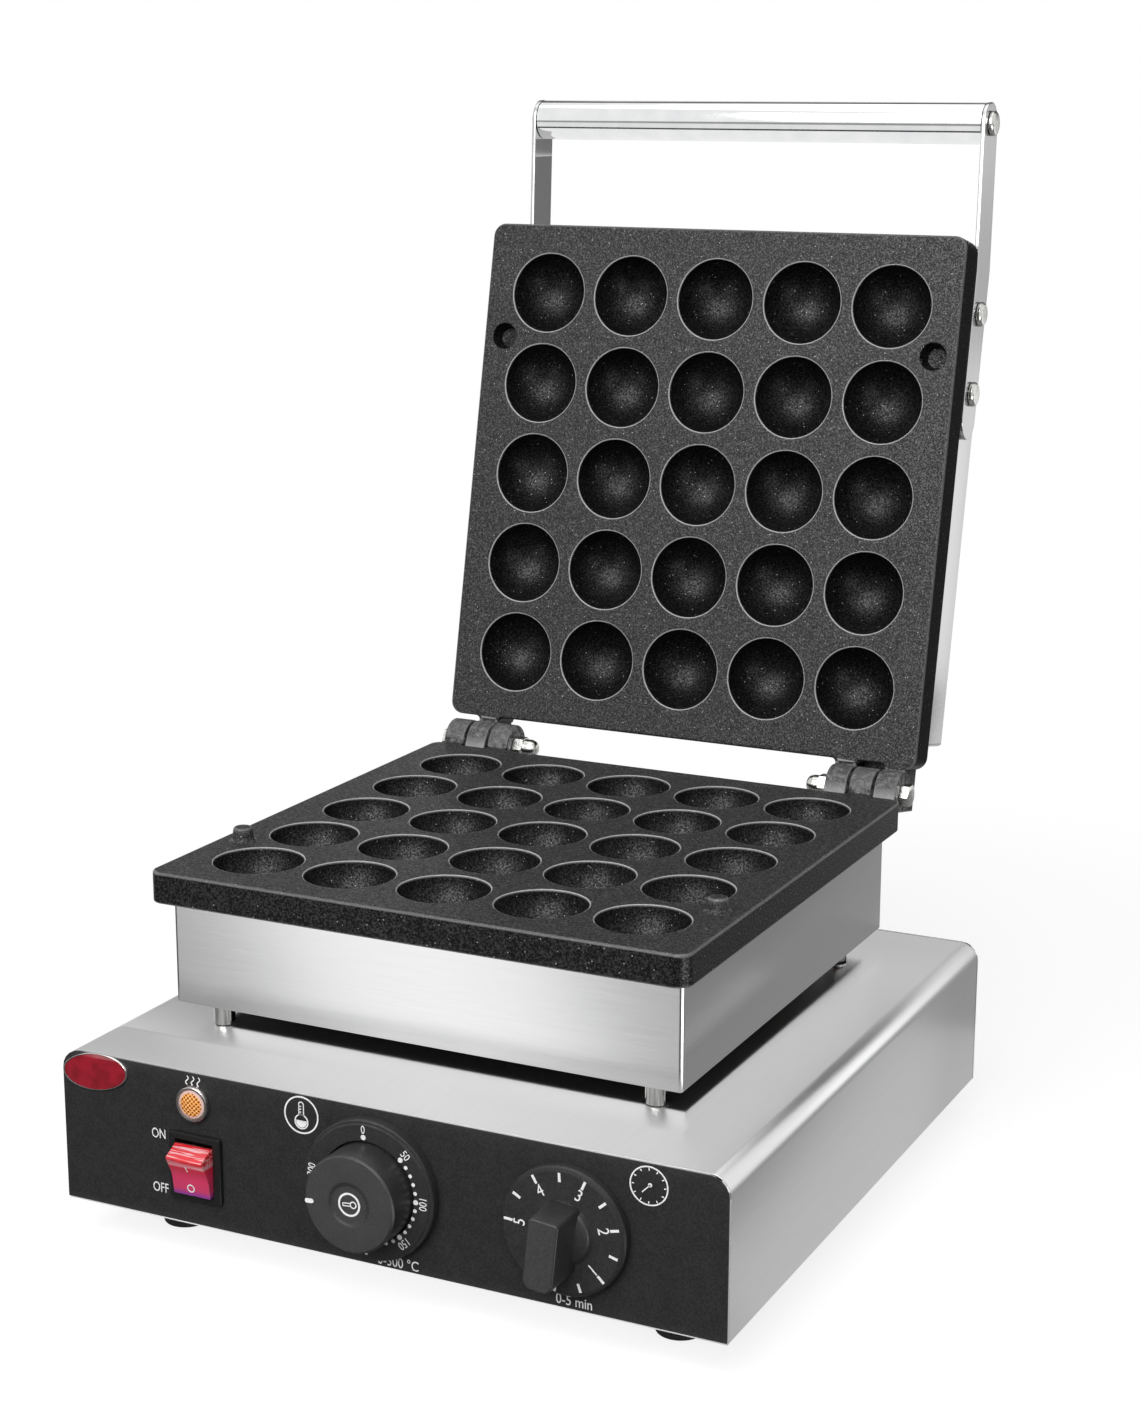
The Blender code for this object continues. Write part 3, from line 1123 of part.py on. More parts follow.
def thermostat():
    """Case, fixed dial, spindle and the plain round knob that stands in the dial."""
    control_body("thermostat_body", THERMOSTAT_X, THERMOSTAT_BODY_WIDTH, THERMOSTAT_BODY_HEIGHT,
                 THERMOSTAT_BODY_DEPTH)
    turn = (pi / 2, 0, 0)
    place = (THERMOSTAT_X, FRONT_OF_FILM, KNOB_Z)
    bore = THERMOSTAT_KNOB_RADIUS + DIAL_BORE_CLEARANCE
    ring = [(bore, DIAL_HEIGHT), (DIAL_RADIUS - CONTROL_EDGE_DRAFT, DIAL_HEIGHT),
            (DIAL_RADIUS, DIAL_EDGE_HEIGHT), (DIAL_RADIUS, 0), (bore, 0)]
    piece("thermostat_dial", turned_mesh("thermostat_dial", ring, FINE_SIDES, ring=True),
          "black_plastic", place, turn)
    radius, rise, edge = THERMOSTAT_KNOB_RADIUS, THERMOSTAT_KNOB_RISE, THERMOSTAT_KNOB_EDGE
    dish = THERMOSTAT_KNOB_DISH_RADIUS
    profile = [(0, rise - THERMOSTAT_KNOB_DISH_DEPTH), (dish, rise - THERMOSTAT_KNOB_DISH_DEPTH),
               (dish + edge, rise), (radius - edge, rise), (radius, rise - edge), (radius, 0), (0, 0)]
    knob_turn = (pi / 2, THERMOSTAT_REST, 0)
    knob = piece("thermostat_knob", turned_mesh("thermostat_knob", profile, FINE_SIDES),
                 "black_plastic", place, knob_turn)
    cut(knob, spindle_bore(rise), place=place, turn=knob_turn)
    spindle("thermostat_spindle", THERMOSTAT_X, rise, THERMOSTAT_REST)


def timer():
    """Case, spindle and the skirted knob with its bar grip, resting at zero."""
    control_body("timer_body", TIMER_X, TIMER_BODY_SIDE, TIMER_BODY_SIDE, TIMER_BODY_DEPTH)
    place = (TIMER_X, FRONT_OF_FILM, KNOB_Z)
    turn = (pi / 2, TIMER_REST, 0)
    boss = [(TIMER_BOSS_RADIUS * out, TIMER_SKIRT_HEIGHT + TIMER_BOSS_RISE * up)
            for out, up in TIMER_BOSS_SHARES]
    profile = boss + [(TIMER_SKIRT_RADIUS - CONTROL_EDGE_DRAFT, TIMER_SKIRT_HEIGHT),
                      (TIMER_SKIRT_RADIUS, TIMER_SKIRT_EDGE_HEIGHT), (TIMER_SKIRT_RADIUS, 0), (0, 0)]
    knob = piece("timer_knob", turned_mesh("timer_knob", profile, FINE_SIDES), "black_plastic",
                 place, turn)
    half = TIMER_GRIP_WIDTH / 2
    foot, top = TIMER_GRIP_CORNER, TIMER_GRIP_TOP_CORNER
    grip = rounded([(-half, -TIMER_GRIP_DOWN, foot), (half, -TIMER_GRIP_DOWN, foot),
                    (half, TIMER_GRIP_UP, top), (-half, TIMER_GRIP_UP, top)])
    low = TIMER_SKIRT_EDGE_HEIGHT
    bar = slab_mesh("grip", [grip], TIMER_GRIP_RISE - low)
    bar.transform(Matrix.Translation((0, 0, (TIMER_GRIP_RISE + low) / 2)))
    join(knob, bar, place=place, turn=turn)
    cut(knob, spindle_bore(TIMER_GRIP_RISE), place=place, turn=turn)
    spindle("timer_spindle", TIMER_X, TIMER_GRIP_RISE, TIMER_REST)


def terminal_block():
    """A barrier strip on the pan, where the cord's wires are joined."""
    half = TERMINAL_LENGTH / 2
    wall = TERMINAL_WALL
    way = (TERMINAL_LENGTH - wall * (TERMINAL_WAYS + 1)) / TERMINAL_WAYS
    valley = TERMINAL_HEIGHT - TERMINAL_RIDGE
    comb = [(-half, 0), (half, 0)]
    x = half
    for i in range(TERMINAL_WAYS):
        comb += [(x, TERMINAL_HEIGHT), (x - wall, TERMINAL_HEIGHT), (x - wall, valley)]
        x -= wall + way
        comb.append((x, valley))
    comb += [(x, TERMINAL_HEIGHT), (-half, TERMINAL_HEIGHT)]
    mesh = upright(slab_mesh("terminal_block", [comb], TERMINAL_WIDTH), -TERMINAL_WIDTH / 2,
                   TERMINAL_WIDTH)
    piece("terminal_block", mesh, "nylon",
          (TERMINAL_X, BASE_REAR_REACH - TERMINAL_REAR_INSET, SHELL_BOTTOM + SHEET + SEAT_GAP))


def thermostat_sensor():
    """The sensing bulb under the lower plate and its capillary, down a pillar to the thermostat."""
    z = LOWER_FACE - max(CORE_DEPTH, LOWER_PLATE_THICKNESS + CAVITY_FLOOR) - SEAT_GAP - BULB_DIAMETER / 2
    floor = HOUSING_BOTTOM + SHEET + CAPILLARY_FLOOR_CLEARANCE
    under = BASE_TOP - SHEET - CAPILLARY_BASE_DROP
    rear = PILLAR_REAR_Y
    entry_x = THERMOSTAT_X + CAPILLARY_ENTRY_X
    entry_y = BEHIND_PANEL + THERMOSTAT_BODY_DEPTH + SEAT_GAP
    bend = CAPILLARY_BEND_RADIUS
    bulb = [Vector((-BULB_LENGTH / 2, 0, z)), Vector((BULB_LENGTH / 2, 0, z))]
    step = Vector((BULB_DIAMETER / 2, 0, 0))
    corners = [bulb[1] + step, (PILLAR_X, 0, z), (PILLAR_X, 0, floor), (PILLAR_X, rear, floor),
               (PILLAR_X, rear, under), (entry_x, rear, under), (entry_x, entry_y, under)]
    capillary = bent_path(corners, bend)
    shares = [1, 1] + [CAPILLARY_DIAMETER / BULB_DIAMETER] * len(capillary)
    mesh = tube_mesh("thermostat_sensor", bulb + capillary, BULB_DIAMETER / 2, shares)
    piece("thermostat_sensor", mesh, "copper")


def main():
    start_scene()
    base()
    feet()
    gland()
    terminal_block()
    pillars()
    housings()
    lower_plate()
    upper_plate()
    heating()
    thermostat_sensor()
    hinge_bolts()
    handle()
    screws()
    pilot_lamp()
    rocker_switch()
    thermostat()
    timer()


main()
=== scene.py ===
from functools import partial
from math import pi, radians

import bmesh
import bpy
import numpy as np
from mathutils import Matrix, Vector
from mathutils.geometry import tessellate_polygon


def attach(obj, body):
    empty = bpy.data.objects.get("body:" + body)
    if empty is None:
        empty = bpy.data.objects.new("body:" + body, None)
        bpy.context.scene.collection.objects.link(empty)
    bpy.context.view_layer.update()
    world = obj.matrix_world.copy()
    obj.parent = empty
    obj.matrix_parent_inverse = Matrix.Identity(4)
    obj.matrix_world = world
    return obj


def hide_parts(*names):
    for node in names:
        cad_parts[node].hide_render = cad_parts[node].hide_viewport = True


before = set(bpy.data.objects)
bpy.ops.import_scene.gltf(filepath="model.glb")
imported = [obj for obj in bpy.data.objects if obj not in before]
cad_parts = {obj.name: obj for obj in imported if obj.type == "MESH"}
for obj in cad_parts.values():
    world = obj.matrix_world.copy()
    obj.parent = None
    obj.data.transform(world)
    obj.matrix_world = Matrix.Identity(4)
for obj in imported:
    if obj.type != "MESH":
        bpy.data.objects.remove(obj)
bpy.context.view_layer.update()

# Places that the solids share with the pieces
GRID_Y = -38.7411
LOWER_FACE = 166.8
HINGE = np.array((0.0, 102.9589, 165.5))
LID_ANGLE = radians(101.89)
PLATE_HALF = 128.0
PITCH = 46.5
BALL_RADIUS = 20.0
HINGE_Y = 141.7
KNUCKLE_RADIUS = 11.1
KNUCKLE_WIDTH = 11.2
KNUCKLE_STEP = 12.7
WEB_FOOT = 125.0
BOSS_BACK = -25.0
GROUP_X = 105.1
LOWER_THICKNESS, UPPER_THICKNESS = 14.2, 18.0
LOWER_DROP, LID_DROP = -1.3, 1.6
PIN_SPOTS = [(-116.3, -69.75), (116.3, -69.75)]
SIDES = ((-1, "left"), (1, "right"))
BASE_HALF = 158.0
BASE_BOTTOM = 18.5
BASE_TOP = 88.7
FILM_FACE = -192.1411
SEATED = FILM_FACE - 0.3
CONTROL_Z = 54.5
LAMP_X, LAMP_Z = -89.3, 75.6
SWITCH_X, SWITCH_Z = -88.9, 46.4
THERMOSTAT_X = -1.0
TIMER_X = 88.5


# Placing

def on_lower(points):
    """Plate coordinates, face up at z = 0 about the middle of the cavities, to the room."""
    return points + (0.0, GRID_Y, LOWER_FACE)


def on_lid(points):
    """Closed-lid coordinates about the hinge axis, turned back by the open angle about X."""
    c, s = np.cos(LID_ANGLE), np.sin(LID_ANGLE)
    x, y, z = points.T
    return np.stack((x, y * c + z * s, z * c - y * s), axis=1) + HINGE


def on_upper(points):
    """Coordinates of the upper plate, face up, turned over about Y on to the lid."""
    return on_lid(points * (-1.0, 1.0, -1.0) + (0.0, -HINGE_Y, LID_DROP))


def on_panel(x, z, turn=0.0, face=SEATED):
    """A placer for shapes drawn facing +Z: to the panel at x, z, turned clockwise, facing -Y."""
    c, s = np.cos(radians(turn)), np.sin(radians(turn))

    def place(points):
        u, v, w = points.T
        return np.stack((x + u * c + v * s, face - w, z - u * s + v * c), axis=1)
    return place


def at(x, y, z):
    """A placer that only moves."""
    return lambda points: points + (x, y, z)


def along_x(side, x, y, z):
    """A placer for shapes drawn up +Z: their height goes along +X or, where side is -1, along -X."""
    return lambda points: (points * (side, 1.0, side))[:, (2, 0, 1)] + (x, y, z)


def lengthwise(points):
    """Outlines drawn in (y, z) with their thickness along +Z, stood up along X."""
    return points[:, (2, 0, 1)]


# Shapes: each gives (points, faces) in millimetres, or a list of them

def grid(rings):
    """Quads between the points of rows x columns x 3, with the last column joined to the first."""
    points = np.asarray(rings)
    rows, columns = points.shape[:2]
    i = np.arange(rows - 1)[:, None] * columns
    j = np.arange(columns)
    j2 = (j + 1) % columns
    quads = np.stack((i + j, i + j2, i + columns + j2, i + columns + j), axis=-1)
    return points.reshape(-1, 3), quads.reshape(-1, 4)


def turned(profile, sides=64):
    """A profile of (radius, height) turned about Z: x = r cos t, y = r sin t, z = h."""
    r, h = np.asarray(profile, float).T
    t = np.arange(sides) * (2 * pi / sides)
    points = np.stack((r[:, None] * np.cos(t), r[:, None] * np.sin(t), h[:, None] + 0 * t), axis=-1)
    return grid(points)


def corner_arc(before, here, after, radius, steps):
    """The arc that rounds one corner. Its centre lies on the corner's bisector, radius / sin(half)
    away, and its points are the two end spokes blended by sines, so they stand at equal turns."""
    if radius <= 0:
        return here[None, :]
    a = (before - here) / np.linalg.norm(before - here)
    b = (after - here) / np.linalg.norm(after - here)
    half = np.arccos(np.clip(a @ b, -1, 1)) / 2
    middle = here + (a + b) / np.linalg.norm(a + b) * radius / np.sin(half)
    start, end = here + a * radius / np.tan(half) - middle, here + b * radius / np.tan(half) - middle
    sweep = pi - 2 * half
    t = np.linspace(0, 1, steps + 1)[:, None]
    return middle + (start * np.sin(sweep * (1 - t)) + end * np.sin(sweep * t)) / np.sin(sweep)


def softened(corners, steps=5):
    """An open line through (a, b, radius) corners, straight between the arcs that round them."""
    c = np.asarray(corners, float)
    out = [c[:1, :2]]
    for before, here, after in zip(c[:-2], c[1:-1], c[2:]):
        out.append(corner_arc(before[:2], here[:2], after[:2], here[2], steps))
    return np.concatenate(out + [c[-1:, :2]])


def loop(corners, steps=6):
    """A closed outline through (x, y, radius) corners, straight between the arcs that round them."""
    c = np.asarray(corners, float)
    after = np.roll(c, -1, axis=0)
    arcs = [corner_arc(c[i - 1, :2], c[i, :2], after[i, :2], c[i, 2], steps) for i in range(len(c))]
    return np.concatenate(arcs)


def box_loop(half_x, low_y, high_y, radius, steps):
    """A rectangle about x = 0 with one radius at its four corners."""
    return loop([(-half_x, low_y, radius), (half_x, low_y, radius), (half_x, high_y, radius),
                 (-half_x, high_y, radius)], steps)


def around(x, y, radius, t):
    """Points at the turns t: x + r cos t, y + r sin t."""
    return np.stack((x + radius * np.cos(t), y + radius * np.sin(t)), axis=1)


def circle(radius, sides=64, x=0.0, y=0.0):
    """A circle's points at equal turns."""
    return around(x, y, radius, np.arange(sides) * (2 * pi / sides))


def hexagon(radius):
    """A regular hexagon with each side cut into eight equal parts."""
    corners = circle(radius, 6)
    t = np.arange(8)[None, :, None] / 8
    return (corners[:, None] * (1 - t) + np.roll(corners, -1, axis=0)[:, None] * t).reshape(-1, 2)


def arc_points(y, z, radius, start, end, steps=40):
    """An arc's points from one turn to another."""
    return around(y, z, radius, np.linspace(start, end, steps + 1))


def inset(outline, depth):
    """A counterclockwise outline moved inwards: each point goes along the sum of its two edge
    normals, by depth over half the square of that sum, which keeps every edge at depth."""
    ahead = np.roll(outline, -1, axis=0) - outline
    ahead = ahead / np.linalg.norm(ahead, axis=1)[:, None]
    behind = np.roll(ahead, 1, axis=0)
    normal = np.stack((-ahead[:, 1] - behind[:, 1], ahead[:, 0] + behind[:, 0]), axis=1)
    return outline + depth * normal / (0.5 * (normal ** 2).sum(axis=1))[:, None]


def flat(outline, z):
    """An outline's points at one height."""
    return np.column_stack((outline, np.full(len(outline), float(z))))


def wall(outline, low, high):
    """An outline carried straight from one height to another."""
    return grid([flat(outline, low), flat(outline, high)])


def cap(loops, z):
    """A flat face at height z: the first loop is its edge and the rest are holes in it."""
    points = np.concatenate([flat(one, z) for one in loops])
    lines = [[Vector(p) for p in flat(one, z)] for one in loops]
    return points, np.array(tessellate_polygon(lines))


def closed(rings):
    """Rings of points joined in turn, with a flat face over the first and the last."""
    return [grid(rings)] + [cap([ring[:, :2]], ring[0, 2]) for ring in (rings[0], rings[-1])]


def rounded(outline, radius, centre, turns, extra=0.0):
    """The rings of a rounded edge: at the turn t the outline is inset by radius (1 - cos t) plus an
    extra, at the height centre + radius sin t."""
    return [flat(inset(outline, extra + radius - radius * np.cos(t)), centre + radius * np.sin(t))
            for t in turns]


def slab(outline, low, high, edge=0.3, steps=4, draft=0.0):
    """A plate with rounded edges, its ends inset a little more than the edges. draft insets the top."""
    a = np.linspace(0, pi / 2, steps + 1)
    lean = edge * 1.6 + 0.05
    return closed([flat(inset(outline, lean), low), *rounded(outline, edge, low + edge, -a[::-1]),
                   *rounded(outline, edge, high - edge, a, draft),
                   flat(inset(outline, draft + lean), high)])


def chamfered(outline, low, high, across):
    """A prism whose top corners are cut: past 0.97 of the distance from its middle to its flats, the
    height falls by tan 30 of the rest. A flat ring at 0.9 of that distance closes its top."""
    radius = np.hypot(*outline.T)
    fall = np.clip(radius - across / 2 * 0.97, 0, None) * np.tan(pi / 6)
    ring = outline * (across / 2 * 0.9 / radius)[:, None]
    return closed([flat(outline * 0.9, low), flat(outline, low + 0.05),
                   np.column_stack((outline, high - fall)), flat(ring, high)])


def tray(outline, height):
    """An open tray of 1 mm sheet: the skin goes round a fold, up, over the rim and down inside."""
    sheet, fold = 1.0, 0.9
    inside = inset(outline, sheet)
    return closed([flat(inset(outline, fold * 1.5), 0),
                   *rounded(outline, fold, fold, np.linspace(-pi / 2, 0, 6)),
                   flat(outline, height), flat(inside, height), flat(inside, sheet)])


def moved(parts, place):
    """Parts with a placer applied to their points."""
    return [(place(points), faces) for points, faces in parts]


# Meshes and pieces

def mesh_from(name, parts):
    """One mesh from lists of points and faces, with doubles merged and faces turned outwards."""
    points, faces, start = [], [], 0
    for p, f in parts:
        points.append(p * 0.001)
        faces += (f + start).tolist()
        start += len(p)
    mesh = bpy.data.meshes.new(name)
    mesh.from_pydata(np.concatenate(points), [], faces)
    bm = bmesh.new()
    bm.from_mesh(mesh)
    bmesh.ops.remove_doubles(bm, verts=bm.verts[:], dist=1e-6)
    bmesh.ops.dissolve_degenerate(bm, dist=1e-7, edges=bm.edges[:])
    bmesh.ops.recalc_face_normals(bm, faces=bm.faces[:])
    bm.to_mesh(mesh)
    bm.free()
    return mesh


def linked(name, data):
    """An object of this data, linked to the scene."""
    thing = bpy.data.objects.new(name, data)
    bpy.context.scene.collection.objects.link(thing)
    return thing


def piece(name, parts, place, look, replaces=(), body="base", sharp=40):
    """A finished piece: its parts put in place, its material, the solids that it stands for
    and the body that it rides on."""
    mesh = mesh_from(name, moved(parts, place))
    mesh.materials.append(look)
    mesh.shade_smooth()
    mesh.set_sharp_from_angle(angle=radians(sharp))
    thing = linked(name, mesh)
    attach(thing, body)
    if replaces:
        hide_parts(*replaces)


# Materials

def srgb(code):
    """An sRGB hex colour as linear RGBA."""
    c = np.array([int(code[i:i + 2], 16) for i in (0, 2, 4)]) / 255
    return (*np.where(c <= 0.04045, c / 12.92, ((c + 0.055) / 1.055) ** 2.4).tolist(), 1.0)


def apart(mm):
    """The scale of a texture whose features stand this many millimetres apart."""
    return 1000.0 / mm


def add(tree, kind, inputs=(), stops=(), into=None, **settings):
    """One node with its settings; its kind may name its operation after a point. Its inputs are given
    in order, or by name or number, each as a value, a node whose first output is meant, or (node,
    output). A colour ramp's stops are (place, colour), and into is what one of its outputs goes into:
    (node, socket) or (node, socket, output)."""
    kind, _, operation = kind.partition(".")
    made = tree.nodes.new("ShaderNode" + kind)
    if operation:
        made.operation = operation
    for key, value in settings.items():
        setattr(made, key, value)
    for key, value in inputs.items() if isinstance(inputs, dict) else enumerate(inputs):
        source, output = value if isinstance(value, tuple) and len(value) == 2 else (value, 0)
        if isinstance(source, bpy.types.Node):
            tree.links.new(source.outputs[output], made.inputs[key])
        else:
            made.inputs[key].default_value = value
    for number, (place, colour) in enumerate(stops):
        ramp = made.color_ramp.elements
        stop = ramp[number] if number < 2 else ramp.new(place)
        stop.position, stop.color = place, srgb(colour) if isinstance(colour, str) else colour
    if into:
        node, socket, output = (*into, 0)[:3]
        tree.links.new(made.outputs[output], node.inputs[socket])
    return made


def material(name, **sockets):
    """A material with its Principled shader's own sockets set, what puts a node into its tree, its
    shader and the object's own coordinates."""
    made = bpy.data.materials.new(name)
    made.use_nodes = True
    put = partial(add, made.node_tree)
    shader = made.node_tree.nodes["Principled BSDF"]
    for key, value in sockets.items():
        shader.inputs[key.replace("_", " ")].default_value = value
    return made, put, shader, (put("TexCoord"), "Object")


def follow(put, shader, pattern, shades, rough, strength, distance):
    """A dark and a light shade, two roughnesses and a slight relief that all follow one pattern."""
    put("ValToRGB", (pattern,), list(zip((0.3, 0.7), shades)), (shader, "Base Color"))
    put("MapRange", (pattern, 0, 1, *rough), into=(shader, "Roughness"))
    put("Bump", {"Strength": strength, "Distance": distance, "Height": pattern}, into=(shader, "Normal"))


def sheet_steel(name, grain, low, high, dark="cfcfd0", light="d3d3d3"):
    """304 stainless steel, bright rolled and brushed one way: grain is the distance in mm between
    features along each axis, long along the brushing. A broad soft mirror with barely seen lines."""
    made, put, shader, where = material(name, Metallic=1.0)
    stretch = put("Mapping", {"Vector": where, "Scale": [apart(mm) for mm in grain]})
    lines = put("TexNoise", {"Vector": stretch, "Scale": 1.0, "Detail": 2.0})
    follow(put, shader, lines, (dark, light), (low, high), 0.02, 0.00001)
    return made


def coated_casting(name, place_plate):
    """Aluminium casting under a sprayed non-stick coat: a satin near-black with a grain 0.8 mm apart
    and, in places, pale specks 2.2 mm apart. The flat face is painted paler than the bowls, a painted
    sheen. A painted highlight in light grey lies on the edges, where the surface bends outwards, and
    round the lips. Within 12 mm of the hinge's axis it lies in patches, as wear of the coat together
    with a painted highlight on the knuckles. A lip is where the distance from the nearest cavity's
    middle is within 0.38 mm of 20.3 mm. That middle is the plate's own x and y, each rounded to whole
    pitches and held within two of them."""
    made, put, shader, where = material(name)
    cloud, spray, patch = (put("TexNoise", {"Vector": where, "Scale": apart(mm), "Detail": detail})
                           for mm, detail in ((18.0, 4.0), (0.8, 1.0), (3.0, 1.0)))
    drift = put("Math.MULTIPLY_ADD", (cloud, 0.25, spray))
    dark = put("ValToRGB", (drift,), ((0.54, "030303"), (0.66, "0e0e0e"), (0.80, "222223")))
    pale = put("ValToRGB", (spray,), ((0.40, "353535"), (0.54, "404040"), (0.68, "5c5c5c")))
    # The plate's own coordinates, from where its placer puts the origin and the three axes
    middle, *ends = place_plate(np.vstack((np.zeros(3), np.eye(3))))
    turn = Matrix([(end - middle).tolist() for end in ends]).transposed().to_euler()
    on_plate = put("Mapping", {"Vector": where, "Location": middle * 0.001, "Rotation": turn},
                   vector_type="TEXTURE")
    height = (put("SeparateXYZ", (on_plate,)), "Z")
    # The flat face is painted paler than the bowls: a painted sheen, while the bowls keep the dark shades
    face = put("Math.GREATER_THAN", (height, -0.00015))
    painted_face_sheen = put("Math.MULTIPLY", (face, 0.55))
    coat = put("Mix", {0: painted_face_sheen, 6: dark, 7: pale}, data_type="RGBA")
    cells = put("TexVoronoi", {"Vector": where, "Scale": apart(2.2)})
    dot = put("Math.LESS_THAN", (cells, 0.12))
    some = put("Math.GREATER_THAN", (patch, 0.54))
    speck = put("Math.MULTIPLY", (dot, some))
    away = put("VectorMath.SUBTRACT", (where, HINGE * 0.001))
    away = put("VectorMath.MULTIPLY", (away, (0, 1, 1)))
    away = put("VectorMath.LENGTH", (away,))
    # Within 12 mm of the hinge's axis: patches of wear on the coat that also paint the knuckles' highlight
    near = put("MapRange", ((away, "Value"), 0.012, 0.0105))
    knuckle_patches = put("MapRange", (patch, 0.42, 0.62, 0.04, 0.42))
    lugs = put("Math.MULTIPLY", (near, knuckle_patches))
    # Painted highlight on the edges, where the surface bends outwards
    edges = put("MapRange", ((put("NewGeometry"), "Pointiness"), 0.518, 0.55, 0, 0.5))
    # Painted highlight round the lips: where the distance from the nearest cavity's middle is near 20.3 mm
    step = PITCH * 0.001
    ball = on_plate
    held = 2 * step
    for operation, amount in (("ADD", (step / 2, step / 2, 0)), ("SNAP", (step, step, step)),
                              ("MINIMUM", (held, held, 0)), ("MAXIMUM", (-held, -held, 0))):
        ball = put("VectorMath." + operation, (ball, amount))
    ball = put("VectorMath.SUBTRACT", (on_plate, ball))
    ball = put("VectorMath.MULTIPLY", (ball, (1, 1, 0)))
    ball = put("VectorMath.LENGTH", (ball,))
    off = put("Math.SUBTRACT", ((ball, "Value"), 0.0203))
    off = put("Math.ABSOLUTE", (off,))
    ring = put("MapRange", (off, 0.00038, 0.0001, 0, 0.8))
    shallow = put("Math.GREATER_THAN", (height, -0.001))
    lips = put("Math.MULTIPLY", (ring, shallow))
    # Light grey for the painted highlight on edges and lips, and for wear with a painted highlight on the
    # knuckles
    painted_highlight_and_wear = put("Math.MAXIMUM", (lugs, edges))
    painted_highlight_and_wear = put("Math.MAXIMUM", (painted_highlight_and_wear, lips))
    bare = put("Mix", {0: painted_highlight_and_wear, 6: (coat, 2), 7: srgb("c4c4c4")}, data_type="RGBA")
    put("Mix", {0: speck, 6: (bare, 2), 7: srgb("acacac")}, data_type="RGBA",
        into=(shader, "Base Color", 2))
    for low, high, socket in ((0.46, 0.38, "Roughness"), (0.12, 0.40, "Specular IOR Level")):
        put("MapRange", (spray, 0.40, 0.64, low, high), into=(shader, socket))
    put("Bump", {"Strength": 0.35, "Distance": 0.0002, "Height": spray}, into=(shader, "Normal"))
    return made


def moulded(name, dark, light, rough, grain, strength, **sockets):
    """A moulded plastic, rubber, ink, enamel or wool: two near shades in soft clouds 8 mm apart, and a
    fine moulded grain whose distance is given in mm."""
    made, put, shader, where = material(name, Roughness=rough, **sockets)
    cloud = put("TexNoise", {"Vector": where, "Scale": apart(8.0), "Detail": 4.0})
    fine = put("TexNoise", {"Vector": where, "Scale": apart(grain), "Detail": 1.0})
    drift = put("Math.MULTIPLY_ADD", (cloud, 0.4, fine))
    put("ValToRGB", (drift,), ((0.56, dark), (0.84, light)), (shader, "Base Color"))
    put("Bump", {"Strength": strength, "Distance": 0.0001, "Height": fine}, into=(shader, "Normal"))
    return made


def metal(name, dark, light, low, high, patch, strength):
    """A plain metal: two shades and a roughness that drift over patches whose size is given in mm."""
    made, put, shader, where = material(name, Metallic=1.0)
    cloud = put("TexNoise", {"Vector": where, "Scale": apart(patch), "Detail": 3.0})
    follow(put, shader, cloud, (dark, light), (low, high), strength, 0.0002)
    return made


def rocker_plastic():
    """Clear red polycarbonate, its colour painted in bands by height as if lit from behind: violet pink at
    the foot of the key, a pale ridge that is a painted highlight, and bright red above it with pale
    streaks along X, 0.8 mm apart, that are painted highlights."""
    made, put, shader, where = material("red_polycarbonate", Roughness=0.2, Subsurface_Weight=0.15,
                                        Coat_Weight=0.5)
    height = put("SeparateXYZ", (where,))
    share = put("MapRange", ((height, "Z"), 0.0355, 0.0575))
    # Bands by height: the violet pink foot is painted as if lit from behind, and the pale pink band at 0.66
    # is a painted highlight along the ridge
    body = put("ValToRGB", (share,), ((0.0, "a0409a"), (0.1, "d8406e"), (0.45, "e23a62"),
               (0.60, "e62c48"), (0.66, "f4a0ae"), (0.74, "e82838"), (1.0, "e0101e")))
    stretch = put("Mapping", {"Vector": where, "Scale": (apart(14.0), apart(0.8), apart(0.8))})
    streak = put("TexNoise", {"Vector": stretch, "Scale": 1.0, "Detail": 1.0})
    # The pale streaks above the ridge are painted highlights
    pale = put("MapRange", (streak, 0.52, 0.66, 0, 0.8))
    above = put("MapRange", (share, 0.62, 0.68))
    amount = put("Math.MULTIPLY", (pale, above))
    put("Mix", {0: amount, 6: body, 7: srgb("ffd0d4")}, data_type="RGBA", into=(shader, "Base Color", 2))
    return made


def lamp_plastic():
    """Amber polycarbonate painted with dots 1.45 mm apart in slanting rows: dark brown in their middles,
    amber, and pale yellow towards their edges, a painted glint. They lie inside a clear rim that starts
    5.3 mm from the lamp's middle."""
    made, put, shader, where = material("amber_polycarbonate", Roughness=0.15, Coat_Weight=0.5)
    middle = (LAMP_X * 0.001, 0, LAMP_Z * 0.001)
    away = put("VectorMath.SUBTRACT", (where, middle))
    away = put("VectorMath.MULTIPLY", (away, (1, 0, 1)))
    slant = put("Mapping", {"Vector": away, "Rotation": (radians(-90), 0, radians(45))})
    cells = put("TexVoronoi", {"Vector": slant, "Scale": apart(1.45), "Randomness": 0.0},
                voronoi_dimensions="2D")
    # Dark brown in each dot's middle, amber, then pale yellow towards its edge, a painted glint
    dots = put("ValToRGB", (cells,), ((0.20, "5a2404"), (0.30, "f08010"), (0.62, "ffd890")))
    radius = put("VectorMath.LENGTH", (away,))
    rim = put("MapRange", ((radius, "Value"), 0.0051, 0.0055))
    put("Mix", {0: rim, 6: dots, 7: srgb("e6c4bc")}, data_type="RGBA", into=(shader, "Base Color", 2))
    return made


